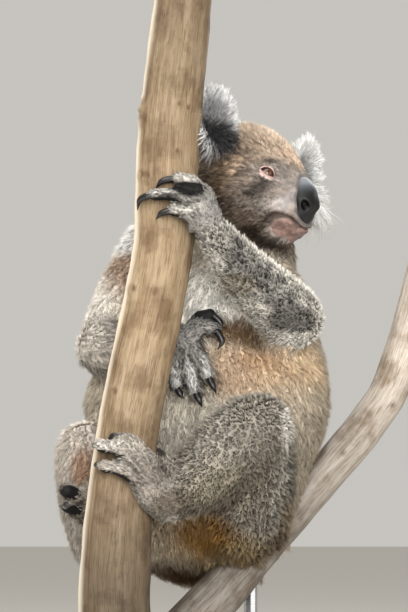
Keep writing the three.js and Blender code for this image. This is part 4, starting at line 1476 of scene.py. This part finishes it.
def build_eye(side):
    eye = EYES[side]
    ball = ball_of(96, 64, EYE_R)
    ball.name = ball.data.name = "eyeball_left" if side > 0 else "eyeball_right"
    co = places(ball.data)
    look = unit(eye["out"] + np.array([0.10, 0, -0.02]))
    upright = unit(np.array([0, 0, 1.0]) - look * look[2])
    aside = np.cross(upright, look)
    turned = np.stack([aside, upright, look])
    gaze = co / EYE_R  # the ball is modelled looking along +Z, then turned
    bulge = ease(gaze[:, 2], 0.80, 1.0)[:, None] * 0.0005
    co = (co + unit(co) * bulge) @ turned + eye["at"]
    set_places(ball.data, from_head(co))
    note(ball.data, gaze, "gaze")
    ball.data.shade_smooth()
    wet, tree, shader = new_material(
        ball.name, 0.3, Coat_Weight=0.5, Coat_Roughness=0.05, Specular_IOR_Level=0.3)
    split = new_node(tree, "SeparateXYZ")
    tree.links.new(attribute(tree, "gaze", "Vector"), split.inputs[0])
    x, y = split.outputs["X"], split.outputs["Y"]
    y_squared = maths(tree, "MULTIPLY", y, y)
    ring = maths(tree, "SQRT", maths(tree, "ADD", maths(tree, "MULTIPLY", x, x), y_squared))
    turn = maths(tree, "ARCTAN2", y, x)
    rays = new_node(tree, "CombineXYZ")
    tree.links.new(maths(tree, "MULTIPLY", turn, 6.0), rays.inputs[0])
    tree.links.new(maths(tree, "MULTIPLY", ring, 2.5), rays.inputs[1])
    streak = noise(tree, rays.outputs[0], 3.0, 4.0)
    streak = maths(tree, "MULTIPLY", maths(tree, "SUBTRACT", streak, 0.5), 0.25)
    iris = ramp(tree, maths(tree, "ADD", ring, streak),
                [(0.0, (92, 58, 28)), (0.25, (84, 50, 22)), (0.45, (58, 34, 17)), (0.62, (30, 20, 13)),
                 (0.72, (20, 15, 12)), (0.85, (34, 29, 26))])
    slit = maths(tree, "ADD", maths(tree, "MULTIPLY", maths(tree, "ABSOLUTE", x), 3.2),
                 maths(tree, "MULTIPLY", y_squared, 1.6))
    dark = new_node(tree, "MapRange", From_Min=0.34, From_Max=0.46)
    tree.links.new(slit, dark.inputs["Value"])
    pupil = (*srgb(6, 5, 5), 1)
    tree.links.new(mixed(tree, dark.outputs["Result"], pupil, iris), shader.inputs["Base Color"])
    ball.data.materials.append(wet)
    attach(ball, "root")
    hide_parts("eye_left" if side > 0 else "eye_right")


for side in (-1, 1):
    build_eye(side)


# ---- claws

CLAW_RADII = (2.8, 3.7, 3.1, 0.6)  # millimetres, from inside the finger to the point


def build_claws():
    horn, tree, shader = new_material(
        "koala_claw", 0.36, Specular_IOR_Level=0.32, Coat_Weight=0.08, Coat_Roughness=0.2)
    streaks = noise(tree, object_place(tree), 260, 3.0)
    tree.links.new(ramp(tree, streaks, [(0.35, (10, 9, 9)), (0.62, (19, 17, 17)), (0.8, (34, 30, 28))]),
                   shader.inputs["Base Color"])
    bumps(tree, shader, streaks, 0.15, 0.0003)
    for paw, parts in PAWS.items():
        for i, (run, line) in enumerate(parts["digits"], 1):
            if line is None:
                continue
            last, root = np.array(run[-1][:3], float), np.array(line[0], float)
            line = [root + (last - root) * 0.7, *line]
            stations = [[*p, r] for p, r in zip(line, CLAW_RADII)]
            claw = bent(f"horn_{paw}_{i}", stations, around=20, rings=36, cap=0.12)
            claw.data.materials.append(horn)
            claw.data.shade_smooth()
            node = f"claw_{paw}_{i}"
            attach(claw, "root")
            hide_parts(node)


build_claws()


# ---- the tree and the stand

WOOD_VOXEL = 0.0039
TRUNK_KNOTS = [  # x, z and radius on the near face, in millimetres
    (-66, 676, 5), (-66, 664, 4), (-60, 657, 5), (-61, 602, 4), (-56, 600, 4), (-24, 671, 3),
    (-15, 668, 3), (-26, 624, 3), (-70, 488, 4), (-48, 484, 5.5), (-88, 386, 4)]
BRANCH_KNOTS = [(172, 371, 7), (145, 330, 5), (199, 380, 4)]


def build_wood():
    parts = [merged_copy(n, n + "_wood") for n in ("perch_trunk", "perch_branch")]
    for part in parts:
        set_places(part.data, places(part.data) + normals(part.data) * 0.0004)
    wood = remeshed(joined(parts, "bare_wood"), WOOD_VOXEL)
    edges = edges_of(wood.data)
    set_places(wood.data, spread(places(wood.data), edges, 15, 0.6))
    apply_modifier(wood, "SUBSURF", levels=1)
    edges = edges_of(wood.data)
    co, n = places(wood.data), normals(wood.data)
    s_trunk, m_trunk, d_trunk = along_path(co, TRUNK)
    s_branch, m_branch, d_branch = along_path(co, BRANCH)
    r_trunk, r_branch = (np.linalg.norm(co - m, axis=1) for m in (m_trunk, m_branch))
    on_branch = ease(r_trunk / 0.035 - r_branch / 0.024, -0.1, 0.1)
    # millimetres round the stem and along it, for the grain
    ref = np.array([0.0, -1.0, 0.0])
    grain = np.empty((len(co), 3))
    trunk_part = on_branch < 0.5
    for mask, s, m, d, r in ((trunk_part, s_trunk, m_trunk, d_trunk, 0.033),
                             (~trunk_part, s_branch, m_branch, d_branch, 0.024)):
        out = unit(co - m - d * np.sum((co - m) * d, axis=1, keepdims=True))
        across = unit(np.cross(d, ref))
        front = np.cross(across, d)
        sideways, forwards = (np.sum(out * way, axis=1) * r for way in (across, front))
        grain[mask] = np.stack([sideways, forwards, s], axis=1)[mask]
    stretched = grain * (1, 1, 0.12)
    push = 0.0006 * (smooth_noise(stretched, 160, 1) - 0.5)
    push += 0.0012 * (smooth_noise(grain, 34, 2) - 0.5)
    dark = np.zeros(len(co))
    for x, z, r in TRUNK_KNOTS:
        hit = (co[:, 1] < -0.085) & trunk_part
        q = np.hypot(co[:, 0] - x * MM, (co[:, 2] - z * MM) * 0.8) / (r * MM)
        q = np.where(hit, q, 9)
        push += 0.0011 * np.exp(-((q - 1.0) / 0.5) ** 2) - 0.0012 * np.exp(-(q / 0.5) ** 2)
        dark = np.maximum(dark, np.exp(-(q / 0.75) ** 2))
    for x, z, r in BRANCH_KNOTS:
        hit = (n[:, 1] < 0.1) & (on_branch > 0.5)
        q = np.where(hit, np.hypot(co[:, 0] - x * MM, co[:, 2] - z * MM) / (r * MM), 9)
        push += 0.0013 * np.exp(-((q - 0.9) / 0.5) ** 2) - 0.0008 * np.exp(-(q / 0.5) ** 2)
        dark = np.maximum(dark, 0.8 * np.exp(-(q / 0.7) ** 2))
    # the long dry crack near the left edge of the trunk
    crack_at = np.interp(grain[:, 2], [0.0, 0.06, 0.2, 0.3, 0.36, 0.40],
                         [-0.021, -0.023, -0.024, -0.024, -0.0245, -0.025])
    crack_at = crack_at + 0.0007 * (smooth_noise(grain * (0, 0, 1), 90, 5) - 0.5)
    crack = np.exp(-((grain[:, 0] - crack_at) / 0.0008) ** 2) * (grain[:, 1] > 0) * trunk_part
    crack *= ease(-co[:, 2], -0.495, -0.46)
    push -= 0.0012 * crack
    co = co + n * push[:, None]
    set_places(wood.data, co)
    dark = np.maximum(dark, 0.8 * crack)
    note(wood.data, grain, "grain")
    light = ease(-grain[:, 0], 0.026, 0.033) * ease(grain[:, 1], -0.006, 0.006) * trunk_part
    paint(wood.data, np.stack([dark, on_branch, light], axis=1), "marks")
    z = co[:, 2]
    shade = np.where(
        trunk_part, np.interp(z, [0.08, 0.20, 0.34, 0.45, 0.60, 0.75], [0.15, 0.20, 0.44, 0.53, 0.50, 0.34]),
        np.interp(z, [0.16, 0.24, 0.33, 0.42], [0.32, 0.30, 0.54, 0.76]))
    shade = spread(shade, edges, 12)
    paint(wood.data, np.repeat(shade[:, None], 3, axis=1), "shade")
    wood.data.shade_smooth()
    stem, tree, shader = new_material("bare_wood", 0.72, Specular_IOR_Level=0.3)
    vector = attribute(tree, "grain", "Vector")
    scaled = new_node(tree, "VectorMath")
    scaled.operation = "MULTIPLY"
    scaled.inputs[1].default_value = (1.0, 1.0, 0.07)
    tree.links.new(vector, scaled.inputs[0])
    fine = noise(tree, scaled.outputs[0], 900, 5.0, 0.65)
    broad = noise(tree, scaled.outputs[0], 190, 3.0)
    blot = noise(tree, vector, 26, 4.0)
    marks = new_node(tree, "SeparateColor")
    tree.links.new(attribute(tree, "marks"), marks.inputs[0])
    trunk = ramp(tree, broad, [(0.30, (150, 125, 93)), (0.52, (168, 145, 114)), (0.70, (184, 163, 134))])
    limb = ramp(tree, broad, [(0.30, (154, 142, 128)), (0.55, (186, 176, 164)), (0.75, (204, 197, 187))])
    colour = mixed(tree, marks.outputs[1], trunk, limb)
    mottle = ramp(tree, blot, [(0.36, (168, 150, 128)), (0.52, (255, 255, 255))])
    colour = mixed(tree, 0.75, colour, mottle, "MULTIPLY")
    speck = ramp(tree, fine, [(0.34, (176, 160, 140)), (0.52, (255, 255, 255))])
    colour = mixed(tree, 0.8, colour, speck, "MULTIPLY")
    colour = mixed(tree, 1.0, colour, attribute(tree, "shade"), "MULTIPLY")
    for mark, strength, rgb in ((2, 0.6, (236, 224, 204)), (0, 0.85, (74, 52, 34))):
        share = maths(tree, "MULTIPLY", marks.outputs[mark], strength)
        colour = mixed(tree, share, colour, (*srgb(*rgb), 1))
    tree.links.new(colour, shader.inputs["Base Color"])
    bumps(tree, shader, maths(tree, "ADD", maths(tree, "MULTIPLY", broad, 0.6), fine), 0.5, 0.0008)
    wood.data.materials.append(stem)
    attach(wood, "root")
    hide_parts("perch_trunk", "perch_branch")


build_wood()


def finish_stand():
    """Dark satin wood for the base and brushed steel for the rods, on their own solids."""
    board, tree, shader = new_material(
        "stand_wood", 0.42, Specular_IOR_Level=0.45, Coat_Weight=0.25, Coat_Roughness=0.3)
    stretched = new_node(tree, "Mapping", object_place(tree), Scale=(1.0, 12.0, 12.0))
    rings = noise(tree, stretched.outputs["Vector"], 9, 5.0, 0.6)
    pores = noise(tree, stretched.outputs["Vector"], 90, 2.0)
    colour = ramp(tree, rings, [(0.32, (54, 38, 26)), (0.50, (84, 62, 43)), (0.68, (108, 82, 58))])
    dots = ramp(tree, pores, [(0.36, (120, 108, 96)), (0.48, (255, 255, 255))])
    tree.links.new(mixed(tree, 0.7, colour, dots, "MULTIPLY"), shader.inputs["Base Color"])
    bumps(tree, shader, pores, 0.25, 0.0003)
    steel, tree, shader = new_material("stand_steel", 0.34, Metallic=1.0)
    brushed = new_node(tree, "Mapping", object_place(tree), Scale=(1.0, 1.0, 60.0))
    lines = noise(tree, brushed.outputs["Vector"], 60, 3.0)
    bright = ramp(tree, lines, [(0.3, (128, 130, 132)), (0.7, (176, 178, 180))])
    tree.links.new(bright, shader.inputs["Base Color"])
    bumps(tree, shader, lines, 0.2, 0.0002)
    for name, material in (("stand_base", board), ("stand_rod_trunk", steel), ("stand_rod_branch", steel)):
        for place in NODES[name].material_slots:
            place.material = material


finish_stand()


# ---- camera, lights and floor

AIM = Vector((0, 0, 0.480))
RISE = math.radians(5)
AWAY = 2.6  # metres from the aim
MM_PER_PIXEL = 1.03
PIXELS_WIDE = 408
SENSOR = 36

camera_data = bpy.data.cameras.new("camera")
camera = placed("camera", camera_data)
camera_data.sensor_fit = "HORIZONTAL"
camera_data.sensor_width = SENSOR
camera_data.lens = SENSOR * (AWAY / MM / MM_PER_PIXEL) / PIXELS_WIDE
camera_data.clip_end = 100
camera.location = AIM - AWAY * Vector((0, math.cos(RISE), math.sin(RISE)))
camera.rotation_euler = (math.radians(90) + RISE, 0, 0)
bpy.context.scene.camera = camera


def area_light(name, at, toward, size, power, colour=(1, 1, 1)):
    data = bpy.data.lights.new(name, "AREA")
    data.size = size
    data.energy = power
    data.color = colour
    light = placed(name, data)
    light.location = at
    light.rotation_euler = (Vector(toward) - Vector(at)).to_track_quat("-Z", "Y").to_euler()


area_light("key", (-1.7, -2.2, 2.7), (0, 0, 0.45), 2.0, 132, (1.0, 0.98, 0.95))
area_light("front", (0.15, -3.0, 1.1), (0, 0, 0.45), 1.4, 106, (1.0, 1.0, 1.0))
area_light("fill", (1.6, -2.4, 0.7), (0, 0, 0.45), 1.8, 42, (1.0, 0.99, 0.97))
area_light("top", (0.0, 0.3, 2.6), (0, 0, 0.5), 2.0, 60)
area_light("rim", (0.9, 2.2, 2.0), (0, 0, 0.5), 1.6, 48)

world = bpy.data.worlds.new("studio")
bpy.context.scene.world = world
world.use_nodes = True
studio = world.node_tree.nodes["Background"].inputs
studio["Color"].default_value = (*srgb(225, 222, 216), 1)
studio["Strength"].default_value = 0.75
bpy.context.scene.view_settings.view_transform = "Standard"

deselect()
bpy.ops.mesh.primitive_plane_add(size=60, location=(0, 0, 0))
floor = bpy.context.object
floor.name = "floor"
bpy.ops.object.transform_apply()
paper, tree, shader = new_material("floor_paper", 0.9)
shader.inputs["Base Color"].default_value = (*srgb(214, 211, 205), 1)
floor.data.materials.append(paper)

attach(skin, "root")
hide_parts(*REPLACED)
